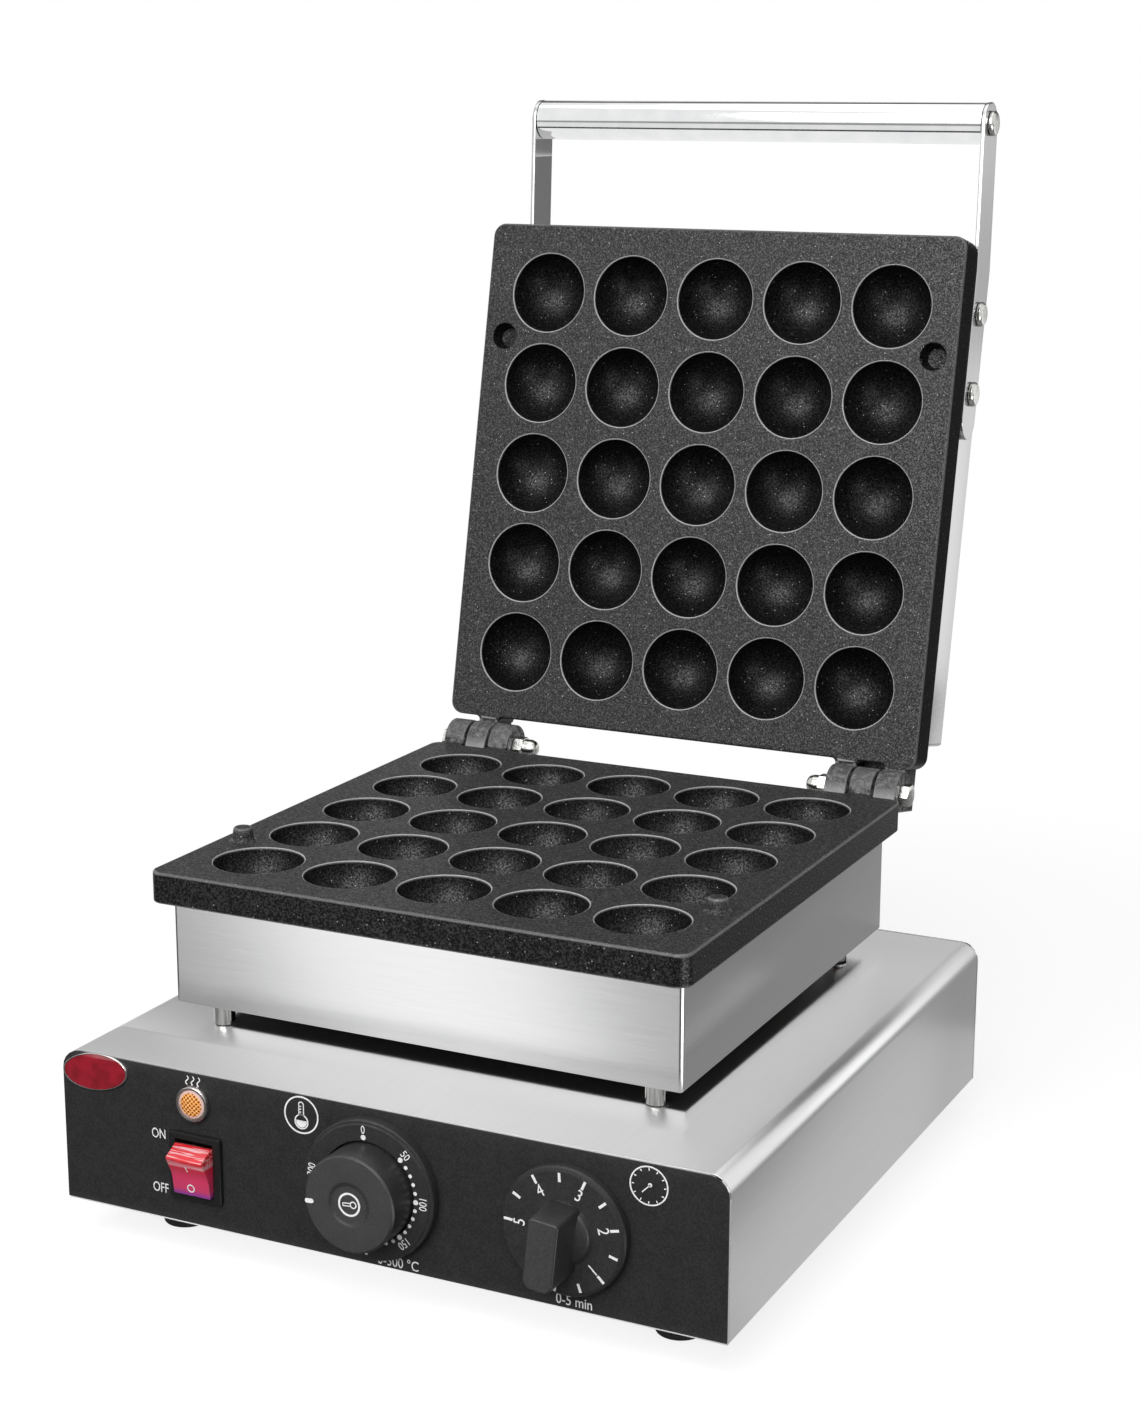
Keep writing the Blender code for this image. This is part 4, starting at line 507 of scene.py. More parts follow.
# Grain across, along and up: it runs level round the housings, lengthwise on the base and up the lid
HOUSING_STEEL = sheet_steel("brushed_304_housing", (25.0, 25.0, 0.6), 0.19, 0.22)
BASE_STEEL = sheet_steel("brushed_304_base", (0.6, 25.0, 0.6), 0.31, 0.34, "dfdfe0", "e3e3e3")
LID_STEEL = sheet_steel("brushed_304_lid", (25.0, 0.6, 25.0), 0.19, 0.22)
BAR_STEEL = sheet_steel("brushed_304_bar", (25.0, 0.6, 25.0), 0.19, 0.22, "bcbcbd", "c2c2c2")
TURNED = sheet_steel("turned_steel", (1.6, 1.6, 25.0), 0.16, 0.26, "7c7c7b", "dcdcda")
LOWER_COAT = coated_casting("nonstick_coat_lower", on_lower)
UPPER_COAT = coated_casting("nonstick_coat_upper", on_upper)
# The film is matt, the knobs satin, and the nylon bezel glossy enough to show its edges
FILM = moulded("printed_polyester_film", "262627", "323233", 0.5, 0.7, 0.25, Specular_IOR_Level=0.3)
KNOB = moulded("moulded_black_bakelite", "2a2a2b", "373738", 0.42, 0.7, 0.12, Specular_IOR_Level=0.4)
BEZEL = moulded("moulded_black_nylon", "161617", "1e1e1f", 0.35, 0.55, 0.12)
RUBBER = moulded("moulded_rubber", "151515", "1d1d1d", 0.75, 1.1, 0.3)
CASE = moulded("phenolic_case", "3d3f42", "4a4c50", 0.55, 1.4, 0.2)
NYLON = moulded("natural_nylon", "dcd8cb", "e8e4d8", 0.5, 1.1, 0.1)
INK = moulded("white_screen_ink", "eeeeee", "fafafa", 0.5, 0.3, 0.1)
WOOL = moulded("mineral_wool", "a8977a", "c4b594", 0.95, 2.5, 0.9)
ENAMEL = moulded("red_enamel", "86101f", "9c1428", 0.18, 5.0, 0.02, Coat_Weight=0.8)
# Chrome mirrors sharply, zinc mottles, and the hidden metals are dull
CHROME = metal("polished_chrome_tube", "e2e3e4", "ededed", 0.05, 0.09, 11.0, 0.01)
ZINC = metal("bright_zinc_plate", "bdbdba", "dadad6", 0.16, 0.30, 1.4, 0.25)
LAMP_RING = metal("chromed_bezel", "d8d2d0", "ece6e4", 0.10, 0.2, 1.1, 0.1)
SHEATH = metal("heater_sheath", "77726c", "8f8b85", 0.35, 0.5, 3.3, 0.2)
GALVANISED = metal("galvanised_sheet", "9a9da0", "b3b6b8", 0.35, 0.55, 11.0, 0.05)
COPPER = metal("drawn_copper", "a9643c", "c07b50", 0.25, 0.4, 2.0, 0.1)
RED = rocker_plastic()
AMBER = lamp_plastic()
WHITE = (1, 1, 1, 1)

FINISHES = (
    (HOUSING_STEEL, "front_panel rear_panel"), (BASE_STEEL, "base_pan"), (FILM, "control_film"),
    (RUBBER, "gland_seal"), (NYLON, "terminal_block"), (SHEATH, "lower_heater upper_heater"),
    (GALVANISED, "lower_clamp_plate upper_clamp_plate"), (WOOL, "lower_insulation upper_insulation"),
    (COPPER, "thermostat_sensor"), (CASE, "thermostat_body timer_body"),
    (ZINC, "thermostat_spindle timer_spindle tube_plug_left tube_plug_right"))


def finish_solids():
    """The solids that stay in view or inside take their materials."""
    for look, names in FINISHES:
        for name in names.split():
            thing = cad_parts[name]
            thing.data.materials.clear()
            thing.data.materials.append(look)


# Cast plates

def cavity_rings():
    """A cavity's profile from a flat collar to its pole. The lip's circle has its centre a lip below
    the face and a ball's radius plus a lip from the middle, and touches both."""
    lip = 0.7
    out = np.sqrt((BALL_RADIUS + lip) ** 2 - lip ** 2)
    touch = np.arcsin(lip / (BALL_RADIUS + lip))
    lips = arc_points(out, -lip, lip, pi / 2, pi + touch, 6)
    bowl = arc_points(0, 0, BALL_RADIUS, -touch, -pi / 2, 16)[1:]
    return np.vstack(([(out + 0.9, 0.0)], lips, bowl))


def knuckle_spans():
    """Left and right ends of the lugs of one plate: two on its left side and one on its right."""
    half = KNUCKLE_WIDTH / 2
    return [(middle - half, middle + half) for middle in
            (-GROUP_X - KNUCKLE_STEP, -GROUP_X + KNUCKLE_STEP, GROUP_X)]


def plate_outline():
    """The plate in plan: a rounded square with a filleted root behind each lug."""
    end, root, corner = HINGE_Y - KNUCKLE_RADIUS, 2.47, 6.5
    limit = PLATE_HALF - corner
    corners = [(-PLATE_HALF, -PLATE_HALF, corner), (PLATE_HALF, -PLATE_HALF, corner),
               (PLATE_HALF, PLATE_HALF, corner)]
    for low, high in sorted(knuckle_spans(), reverse=True):
        if high < limit:
            corners.append((high, PLATE_HALF, root))
        corners += [(min(high, limit), end, 0), (max(low, -limit), end, 0)]
        if low > -limit:
            corners.append((low, PLATE_HALF, root))
    return loop(corners + [(-PLATE_HALF, PLATE_HALF, corner)], 8)


def cast_plate(thickness, lug, spot_rings):
    """A casting, face up at z = 0: a slab with rounded edges, 25 cavities, two turned spots (pins or
    sockets), its lugs, and the boss behind the cavities."""
    outline = plate_outline()
    edge, back = 1.2, 0.8
    a = np.linspace(0, pi / 2, 6)
    boss = box_loop(112.0, -112.0, 112.0, 12.0, 8)
    rings = [flat(inset(outline, 1.9), 0), *rounded(outline, edge, -edge, a[::-1]),
             flat(outline, -edge - 0.3), flat(outline, back - thickness + 0.3),
             *rounded(outline, back, back - thickness, -a), flat(inset(outline, 1.6), -thickness)]
    bowl = cavity_rings()
    line = (np.arange(5) - 2) * PITCH
    centres = [(x, y) for y in line for x in line]
    collars = [circle(bowl[0, 0], 64, x, y) for x, y in centres]
    collars += [circle(spot_rings[0][0], 40, x, y) for x, y in PIN_SPOTS]
    parts = [grid(rings), cap([rings[0][:, :2]] + collars, 0.0),
             cap([rings[-1][:, :2], boss], -thickness), wall(boss, -thickness, BOSS_BACK),
             cap([boss], BOSS_BACK)]
    for shape, places in ((turned(bowl, 64), centres), (turned(spot_rings, 40), PIN_SPOTS)):
        parts += [(shape[0] + (x, y, 0.0), shape[1]) for x, y in places]
    for low, high in knuckle_spans():
        parts += moved(slab(lug, low, high, 0.9), lengthwise)
    return parts


def lower_lug():
    """The fixed plate's knuckle and web in (y, z): round behind and on top, flat underneath."""
    start = pi - np.arcsin(-LOWER_DROP / KNUCKLE_RADIUS)
    arc = arc_points(HINGE_Y, LOWER_DROP, KNUCKLE_RADIUS, start, -pi / 2)
    return np.vstack(([(WEB_FOOT, -0.4)], arc, [(WEB_FOOT, LOWER_DROP - KNUCKLE_RADIUS)]))[::-1]


def lid_lug():
    """The lid's knuckle in (y, z): round on the face's side, flat behind, with the stop's heel. The
    heel's flat is the fixed plate's back face seen from the open lid, drop by drop down that face."""
    end, toe_drop, back = 8.8, 2.0, 1.5 - UPPER_THICKNESS
    c, s = np.cos(LID_ANGLE), np.sin(LID_ANGLE)
    reach = HINGE_Y - PLATE_HALF - 0.3
    drops = np.array((toe_drop, (end + reach * c) / s))
    flats = np.stack((drops * s - reach * c, reach * s + drops * c), axis=1)
    leave = np.arctan2(flats[0, 1], flats[0, 0]) + np.arccos(KNUCKLE_RADIUS / np.hypot(*flats[0]))
    start = pi - np.arcsin(-LID_DROP / KNUCKLE_RADIUS)
    arc = arc_points(HINGE_Y, LID_DROP, KNUCKLE_RADIUS, start, leave, 20)
    flats = flats + (HINGE_Y, LID_DROP)
    behind = [(HINGE_Y + end, back), (WEB_FOOT, back)]
    return np.vstack(([(WEB_FOOT, -0.4)], arc, flats, behind))[::-1]


def cast_plates():
    """Both castings: pins on the fixed one; sockets, and a web from lug to lug, on the lid's."""
    pin = softened([(7.6, 0, 0), (6.1, 0, 1.2), (4.9, 1.5, 1.6), (4.2, 6.5, 1.3), (0, 6.5, 0)])
    piece("lower_plate_casting", cast_plate(LOWER_THICKNESS, lower_lug(), pin), on_lower, LOWER_COAT,
          ["lower_plate"])
    socket = softened([(7.7, 0, 0), (6.7, 0, 0.7), (4.9, -7.5, 0.6), (0, -7.5, 0)])
    left, right = -GROUP_X - KNUCKLE_WIDTH, KNUCKLE_WIDTH - GROUP_X
    web = slab(loop([(left, WEB_FOOT, 0), (right, WEB_FOOT, 0), (right, 135.0, 0), (left, 135.0, 0)]),
               -16.5, -11.5, 0.6)
    piece("upper_plate_casting", cast_plate(UPPER_THICKNESS, lid_lug(), socket) + web, on_upper,
          UPPER_COAT, ["upper_plate"], "lid")


# Stainless sheet work, feet and spacers

def sheet_work():
    """The housings are trays, and the base's shell is a fold drawn in (x, z) and carried along Y."""
    housing = box_loop(122.0, -117.5, 119.5, 1.8, 8)
    piece("lower_housing_tray", tray(housing, 47.8), at(0, GRID_Y, 104.5), HOUSING_STEEL,
          ["lower_housing"])
    cover = box_loop(121.2, -117.5, 119.5, 1.8, 8)
    lid_tray = moved(tray(cover, 41.7), lambda p: p * (1.0, 1.0, -1.0) + (0.0, -HINGE_Y, 61.6))
    piece("upper_housing_tray", lid_tray, on_lid, LID_STEEL, ["upper_housing"], "lid")
    bend, inner = 8.5, BASE_HALF - 1
    corners = [(inner, BASE_TOP - 1, bend - 1), (inner, BASE_BOTTOM, 0.3), (BASE_HALF, BASE_BOTTOM, 0.3),
               (BASE_HALF, BASE_TOP, bend)]
    fold = loop([(-x, z, r) for x, z, r in corners[2::-1]] + corners + [(-BASE_HALF, BASE_TOP, bend)], 24)
    piece("base_shell_fold", slab(fold, -122.3589, 189.8411, 0.2, 2),
          lambda p: p[:, (0, 2, 1)] * (1.0, -1.0, 1.0), BASE_STEEL, ["base_shell"])
    foot = softened([(0, 18.2, 0), (11.8, 18.2, 0.6), (10.4, 0, 1.4), (4.5, 0, 0.5), (4.5, 8, 0.3),
                     (0, 8, 0)])
    pillar = softened([(2.5, 15.2, 0), (4.9, 15.2, 0.4), (4.9, 0, 0.4), (2.5, 0, 0), (2.5, 15.2, 0)])
    for side, word in SIDES:
        for foot_y, row, shift, y in ((-154.141, "front", -5.6, -133.7411), (85.859, "rear", 0.0, 62.2589)):
            corner = row + "_" + word
            piece("rubber_foot_" + corner, [turned(foot)], at(side * 121.6, foot_y, 0), RUBBER,
                  ["foot_" + corner])
            piece("spacer_" + corner, [turned(pillar, 40)], at(shift + side * 106.5, y, 89.0), TURNED,
                  ["pillar_" + corner])


# Handle

def handle():
    """A tube between two cranked bars. A bar is its spine widened by half to both sides, mitred at the
    crank by half / cos(tilt / 2), with half circles at its ends."""
    half = 10.25
    foot, crank, grip = np.array(((-185.9, 45.6), (-260.2, 45.6), (-329.7, 34.6)))
    tilt = np.arctan2(*(crank - grip)[::-1])
    head = arc_points(*grip, half, tilt + pi / 2, tilt + 3 * pi / 2, 20)
    tail = arc_points(*foot, half, -pi / 2, pi / 2, 20)
    turn = np.array((-np.sin(tilt / 2), np.cos(tilt / 2))) * half / np.cos(tilt / 2)
    bar = np.vstack((tail, [crank + turn], head, [crank - turn]))
    tube = softened([(8.5, 121.2, 0), (10.0, 121.2, 0.3), (10.0, -121.2, 0.3), (8.5, -121.2, 0),
                     (8.5, 121.2, 0)])
    piece("grip_tube", moved([turned(tube, 96)], along_x(1, 0, *grip)), on_lid, CHROME,
          ["handle_tube"], "lid")
    screw = softened([(0, 2.6, 0), (5.0, 2.5, 2.0), (6.1, 1.5, 0.7), (6.1, 0, 0.2), (2.5, 0, 0),
                      (2.5, -7.8, 0), (0, -7.8, 0)])
    for side, word in SIDES:
        low, high = sorted((side * 121.5, side * 123.5))
        arm = moved(slab(bar, low, high, 0.35, 3), lengthwise)
        piece("arm_bar_" + word, arm, on_lid, BAR_STEEL, ["handle_arm_" + word], "lid")
        for node, y, z in (("arm_screw_" + word + "_front", -237.9, 45.6),
                           ("arm_screw_" + word + "_rear", -198.4, 45.6),
                           ("handle_screw_" + word, *grip)):
            body = moved([turned(screw, 48)], along_x(side, side * 123.8, y, z))
            piece("pan_head_" + node, body, on_lid, ZINC, [node], "lid")


def hinge_fixings():
    """Hex bolts and dome nuts on the hinge axis."""
    across = 10.0
    corners = hexagon(across / 2 / np.cos(pi / 6))
    dome = softened([(0, 12.2, 0), (3.6, 12.0, 3.0), (4.6, 8.4, 2.0), (4.6, 5.2, 0), (0, 5.2, 0)], 8)
    for side, word in SIDES:
        bolt = [turned([(0, 0.0), (3.0, 0.0), (3.0, -43.0), (0, -43.0)], 32)]
        bolt += chamfered(corners, 0.0, 4.2, across)
        piece("hex_bolt_" + word, bolt, along_x(side, side * 123.7, *HINGE[1:]), ZINC,
              ["hinge_bolt_" + word])
        nut = chamfered(corners, 0.0, 5.5, across) + [turned(dome, 48)]
        piece("dome_nut_" + word, nut, along_x(-side, side * 86.5, *HINGE[1:]), ZINC,
              ["hinge_nut_" + word])


# Controls

def pilot_lamp():
    """A turned bezel, and in it a lens: the dome 1.1 (1 - r^2 / R^2), and on it, out to 0.85 R, small
    pyramids, 0.55 times one half less the larger of the distances across and up, in steps, from the
    nearest pyramid's middle."""
    bezel = softened([(0, 1.2, 0), (6.6, 1.2, 0.2), (6.6, 2.6, 0.5), (7.7, 2.6, 0.6), (8.1, 1.2, 0.6),
                      (8.1, 0, 0), (6.2, 0, 0), (6.2, -24.0, 0), (0, -24.0, 0)])
    place = on_panel(LAMP_X, LAMP_Z)
    piece("lamp_bezel_ring", [turned(bezel)], place, LAMP_RING, ["lamp_body"])
    radius, step = 6.35, 1.45
    r = np.linspace(0, 1, 24)[:, None] * radius
    t = np.arange(96) * (2 * pi / 96)
    x, y = r * np.cos(t), r * np.sin(t)
    away = np.maximum(abs((x / step + 0.5) % 1 - 0.5), abs((y / step + 0.5) % 1 - 0.5))
    z = 2.1 + 1.1 * (1 - (r / radius) ** 2) + 0.55 * (0.5 - away) * (r < radius * 0.85)
    rim = flat(circle(radius, 96), 1.5)
    lens = [grid([*np.stack((x, y, z), axis=-1), rim]), cap([rim[:, :2]], 1.5)]
    piece("lamp_lens_facets", lens, place, AMBER, ["lamp_lens"], sharp=20)


def rocker_switch():
    """A bezel with a deep opening, the key on its pivot 0.4 mm behind the film's face, and its marks."""
    place = on_panel(SWITCH_X, SWITCH_Z)
    opening = box_loop(9.6, -12.4, 12.4, 0.4, 3)
    edge = box_loop(13.1, -15.2, 15.2, 1.0, 5)
    case = box_loop(11.2, -13.6, 13.6, 0.3, 2)
    a = np.linspace(0, pi / 2, 5)
    rings = [flat(edge, 0), *rounded(edge, 0.9, 1.3, a)]
    body = [grid(rings), cap([rings[-1][:, :2], opening], 2.2), wall(opening, 2.2, -9.0),
            cap([opening], -9.0), cap([edge, case], 0), wall(case, 0, -26.6), cap([case], -26.6)]
    piece("switch_bezel", body, place, BEZEL, ["switch_body"])
    key = loop([(8.0, -4.0, 0), (11.2, 0, 0.4), (9.8, 8.6, 0.7), (0, 7.0, 14.0), (-9.8, 8.6, 0.7),
                (-11.2, 0, 0.4), (-8.0, -4.0, 0)], 8)
    c, s = np.cos(radians(18.0)), np.sin(radians(18.0))
    to_panel = on_panel(SWITCH_X, SWITCH_Z, 0.0, FILM_FACE)

    def tilt(points):
        """Key coordinates (across, up, out) turned by 18 degrees, its upper half outwards."""
        u, v, w = points.T
        return to_panel(np.stack((u, v * c - w * s, v * s + w * c - 0.4), axis=1))

    def on_key(points):
        """Marks drawn flat, on to the key's two faces: out by 7.05 + 0.1633 times the distance from the
        key's middle line."""
        across, up, out = points.T
        return tilt(np.stack((across, up, out + (7.05 + 0.1633 * abs(up))), axis=1))

    piece("rocker_key_red", slab(key, -9.2, 9.2, 0.35, 3), lambda p: tilt(lengthwise(p)), RED,
          ["rocker"], "rocker_key")
    marks = moved(stroke([(0, -1.5), (0, 1.5)], 0.5), at(0, 4.4, 0))
    marks += moved(ring_mark(1.9, 0.5), at(0, -5.8, 0))
    print_on("rocker_print", marks, on_key, "rocker_key")


def thermostat():
    """A fixed dial ring with a stepped rim, and a plain round knob with a shallow dish."""
    place = on_panel(THERMOSTAT_X, CONTROL_Z)
    dial = softened([(21.9, 0, 0), (21.9, 5.5, 0.5), (29.0, 5.5, 0.35), (29.5, 4.9, 0.3), (30.5, 4.7, 0.4),
                     (30.9, 3.9, 0.4), (30.9, 0, 0), (21.9, 0, 0)])
    piece("dial_ring", [turned(dial, 128)], place, KNOB, ["thermostat_dial"])
    knob = softened([(0, 19.7, 0), (8.3, 19.75, 3.0), (9.6, 20.4, 3.0), (20.4, 20.4, 0.5),
                     (21.2, 19.5, 0.8), (21.2, 0, 0.2), (0, 0, 0)])
    piece("thermostat_knob_body", [turned(knob, 128)], place, KNOB,
          ["thermostat_knob"], "thermostat_control")


def timer():
    """A skirted knob with a domed boss and a bar grip, resting 6 degrees past zero."""
    place = on_panel(TIMER_X, CONTROL_Z, 6.0)
    skirt = softened([(0, 9.0, 0), (7.6, 8.6, 6.0), (12.2, 7.1, 3.0), (13.8, 5.2, 0.8), (26.0, 5.2, 0.5),
                      (27.2, 4.4, 0.8), (27.8, 3.4, 0.5), (27.8, 0, 0.2), (0, 0, 0)])
    grip = loop([(-7.1, -18.3, 4.7), (7.1, -18.3, 4.7), (7.1, 13.1, 2.2), (-7.1, 13.1, 2.2)], 10)
    bar = slab(grip, 3.6, 24.2, 0.7, 5, draft=0.5)
    piece("timer_knob_body", [turned(skirt, 128)] + bar, place, KNOB, ["timer_knob"],
          "timer_control")


# Print: thin plates of ink, drawn facing +Z about z = 0

# Half an ink plate's thickness, and a capital's share of the face's size
INK_HALF = 0.06
CAPITAL_SHARE = 0.729


def words(text, height, width):
    """A word in the plain built-in face, centred, its capitals as tall as height, narrowed by width."""
    curve = bpy.data.curves.new("word", "FONT")
    curve.body, curve.align_x, curve.resolution_u = text, "CENTER", 4
    curve.size, curve.extrude = height / CAPITAL_SHARE, INK_HALF
    holder = linked("word", curve)
    bpy.context.view_layer.update()
    mesh = bpy.data.meshes.new_from_object(holder.evaluated_get(bpy.context.evaluated_depsgraph_get()))
    bpy.data.objects.remove(holder, do_unlink=True)
    bpy.data.curves.remove(curve)
    mesh.calc_loop_triangles()
    points, faces = np.empty(len(mesh.vertices) * 3), np.empty(len(mesh.loop_triangles) * 3, int)
    mesh.vertices.foreach_get("co", points)
    mesh.loop_triangles.foreach_get("vertices", faces)
    bpy.data.meshes.remove(mesh)
    return [(points.reshape(-1, 3) * (width, 1, 1) - (0, height / 2, 0), faces.reshape(-1, 3))]


def ink(outline):
    """A filled outline."""
    return slab(outline, -INK_HALF, INK_HALF, 0.01, 1)


def stroke(path, width):
    """A line of constant width: the path moved by half the width to both sides, its ends square."""
    p = np.asarray(path, float)
    way = np.gradient(p, axis=0)
    way = way / np.linalg.norm(way, axis=1)[:, None]
    side = np.stack((-way[:, 1], way[:, 0]), axis=1) * width / 2
    return ink(np.vstack((p - side, (p + side)[::-1])))


def ring_mark(radius, width, x=0.0, y=0.0):
    """A ring between two circles, the width apart."""
    outer, inner = circle(radius, 64, x, y), circle(radius - width, 64, x, y)
    return [cap([outer, inner], INK_HALF), wall(outer, -INK_HALF, INK_HALF),
            wall(inner, -INK_HALF, INK_HALF), cap([outer, inner], -INK_HALF)]


def disc_mark(radius, x=0.0, y=0.0):
    """A filled circle."""
    return ink(circle(radius, 24, x, y))


def spun(parts, radius, angle):
    """Parts moved out to a radius and turned clockwise from 12 o'clock, tops outwards."""
    c, s = np.cos(radians(angle)), np.sin(radians(angle))

    def place(points):
        u, v, w = points.T
        return np.stack((u * c + (v + radius) * s, (v + radius) * c - u * s, w), axis=1)
    return moved(parts, place)


def print_on(name, parts, place, body="base"):
    """Ink as a piece of its own."""
    piece(name, parts, place, INK, (), body)


def panel_print():
    """Plain words, a heat mark of three waves, a flask thermometer and a clock."""
    marks = []
    for text, width, x, z in (("ON", 0.75, -108.4, 58.3), ("OFF", 0.75, -108.3, 33.3),
                              ("0-300 °C", 0.85, 10.0, 22.8), ("0-5 min", 0.85, 91.5, 23.2)):
        marks += moved(words(text, 4.6, width), at(x, z, 0))
    s = np.linspace(-1, 1, 16)
    for x in (-92.8, -89.9, -87.0):
        marks += stroke(np.stack((x + 0.7 * np.sin(s * pi), 85.4 + 2.0 * s), axis=1), 0.5)
    neck = loop([(-1.4, -0.2, 0), (1.4, -0.2, 0), (1.4, 6.0, 1.35), (-1.4, 6.0, 1.35)])
    flask = ring_mark(8.4, 0.7) + ring_mark(3.4, 0.55, 0.0, -3.0)
    flask += ink(arc_points(0, -3.0, 2.6, pi, 2 * pi, 20)) + stroke([(-3.0, -2.7), (3.0, -2.7)], 0.35)
    flask += [cap([neck, inset(neck, 0.5)], INK_HALF)]
    for z in (1.2, 2.5, 3.8):
        flask += stroke([(-1.3, z), (0.0, z)], 0.45)
    marks += moved(flask, at(-35.7, 79.9, 0))
    clock = ring_mark(8.4, 0.6) + stroke([(0.6, 0.5), (-3.0, -3.1)], 0.5) + disc_mark(0.9, 0.5, 0.4)
    for k in range(12):
        clock += spun(stroke([(0, -0.7), (0, 0.3)], 0.45), 7.2, 30.0 * k)
    marks += moved(clock, at(124.0, 79.5, 0))
    print_on("panel_print", marks, on_panel(0.0, 0.0, 0.0, FILM_FACE - 0.04))


def dial_print():
    """0 to 300 on the dial at 0.94 degrees of turn to the degree, a dot for each 10, and the knob's
    own pointer and thermometer."""
    marks = []
    for number in range(0, 301, 10):
        angle = -2.5 + number * 0.94
        if number % 50 == 0:
            marks += spun(words(str(number), 3.7, 0.8), 26.9, angle) + spun(disc_mark(1.15), 23.4, angle)
        elif number > 50:
            marks += spun(disc_mark(0.85), 23.4, angle)
    print_on("dial_print", marks, on_panel(THERMOSTAT_X - 0.3, CONTROL_Z + 0.4, 0.0, SEATED - 5.53))
    pill = slab(box_loop(1.0, -2.1, 2.1, 0.95, 6), 20.3, 20.47, 0.05, 2)
    icon = ring_mark(5.2, 0.9) + ring_mark(1.6, 0.5, 0, -1.9)
    for x, z, x2 in ((-0.6, -0.5, -0.6), (0.6, -0.5, 0.6), (-0.7, 3.0, 0.7)):
        icon += stroke([(x, z), (x2, 3.0)], 0.4)
    print_on("knob_print", moved(pill, at(0, 18.8, 0)) + moved(icon, at(0, 0, 19.78)),
             on_panel(THERMOSTAT_X, CONTROL_Z, -95.0), "thermostat_control")


def timer_print():
    """A tick for each half minute and a number for each whole one, at the turns measured on the dial."""
    turns = (187.0, 160.4, 133.6, 104.8, 76.6, 49.5, 23.6, -2.5, -30.5, -58.5, -86.8)
    marks = []
    for half_minutes, angle in enumerate(turns):
        whole = half_minutes % 2 == 0
        marks += spun(stroke([(0, -1.95), (0, 1.95)], 1.15), 24.0 if whole else 23.6, angle)
        if whole and half_minutes:
            marks += spun(words(str(half_minutes // 2), 5.4, 0.85), 19.2, angle)
    print_on("timer_print", marks, on_panel(TIMER_X, CONTROL_Z, 0.0, SEATED - 5.23), "timer_control")


def badge():
    """A bare oval badge: a red enamel field that rises as 1 - k^2 inwards from the bright rim, where k
    is a point's share of the field's size."""
    place = on_panel(-140.5, 81.0, -7.0, FILM_FACE)
    oval = circle(1.0, 96) * (17.2, 8.5)
    inner = oval * 0.94
    rings = [flat(oval * k, z) for k, z in ((1, 0), (0.995, 0.7), (0.975, 1.0), (0.945, 0.8), (0.94, 0.3))]
    piece("badge_rim", closed(rings), place, LAMP_RING)
    shares = np.linspace(0.94, 0.01, 12)
    field = [flat(inner, 0.3)] + [flat(oval * k, 0.45 + 0.55 * (1 - (k / 0.94) ** 2)) for k in shares]
    face = [grid(field), cap([oval * 0.01], 1.0), cap([inner], 0.3)]
    piece("badge_field", face, place, ENAMEL)


def rear_fittings():
    """The cord's gland, with a hex flange, a domed nose and its bore."""
    nose = softened([(4.8, 19.0, 0), (6.8, 19.0, 1.0), (8.0, 16.5, 1.5), (8.0, 5.0, 0.3), (4.8, 5.0, 0)])
    body = chamfered(hexagon(10.5), 0.0, 5.0, 18.2)
    body += [turned(nose), turned([(8.0, 0.0), (8.0, -12.0), (4.8, -12.0), (4.8, 19.0)])]
    piece("gland_body", body, lambda p: p[:, (0, 2, 1)] * (-1, 1, 1) + (-105.0, 124.1589, 48.7),
          BEZEL, ["cord_gland"])


# Studio

def sheet(name, corners, look):
    """A single face of four corners."""
    mesh = bpy.data.meshes.new(name)
    mesh.from_pydata(corners, [], [(0, 1, 2, 3)])
    mesh.materials.append(look)
    return linked(name, mesh)


def pale_floor():
    """A pale matt floor that keeps the shadow. The camera sees it lifted, and wholly white from 0.75 m
    out; mirror rays pass it, to the white room below."""
    look, put, shader, where = material("pale_floor", Base_Color=srgb("8f8f8f"), Roughness=0.9,
                                        Specular_IOR_Level=0.0)
    away = put("VectorMath.LENGTH", (where,))
    away = put("MapRange", ((away, "Value"), 0.28, 0.75), interpolation_type="SMOOTHSTEP")
    lifted = put("AddShader", (shader, put("Emission", (WHITE, 0.82))))
    seen = put("MixShader", (away, lifted, put("Emission", (WHITE, 1.0))))
    put("MixShader", ((put("LightPath"), "Is Camera Ray"), shader, seen),
        into=(look.node_tree.nodes["Material Output"], "Surface"))
    floor = sheet("floor", [(-9, -9, 0), (9, -9, 0), (9, 9, 0), (-9, 9, 0)], look)
    floor.visible_glossy = False


def card(name, strength, x, y, z, front=0, shares=(), place=None):
    """A flat card that only mirror rays see, as a studio's black, grey and white cards. Two of x, y
    and z are its extents in mm, and one is where it stands. With front at 1 only the upper, front or
    right side shows, at -1 only the other side, and rays from behind pass. With shares the light
    changes along the first extent: pairs of a share of its length and a share of the strength. A
    placer carries it to the open lid."""
    name += "_card"
    low, high = np.array([np.broadcast_to(ends, 2) for ends in (x, y, z)]).T * 0.001
    across, up = [i for i in range(3) if high[i] > low[i]]
    corners = np.array([low] * 4)
    corners[1:3, across] = high[across]
    corners[2:4, up] = high[up]
    if place:
        corners = place(corners * 1000) * 0.001
    look, put, _, where = material(name)
    shown = put("Emission", (WHITE, strength))
    if shares:
        along = put("SeparateXYZ", (where,))
        along = put("MapRange", ((along, across), low[across], high[across]))
        put("ValToRGB", (along,), [(share, (grey, grey, grey, 1.0)) for share, grey in shares],
            (shown, "Color"))
    if front:
        first, second = (shown, put("BsdfTransparent"))[::front]
        shown = put("MixShader", ((put("NewGeometry"), "Backfacing"), first, second))
    tree = look.node_tree
    tree.links.new(shown.outputs[0], tree.nodes["Material Output"].inputs["Surface"])
    thing = sheet(name, corners.tolist(), look)
    for rays in ("camera", "diffuse", "transmission", "shadow"):
        setattr(thing, "visible_" + rays, False)


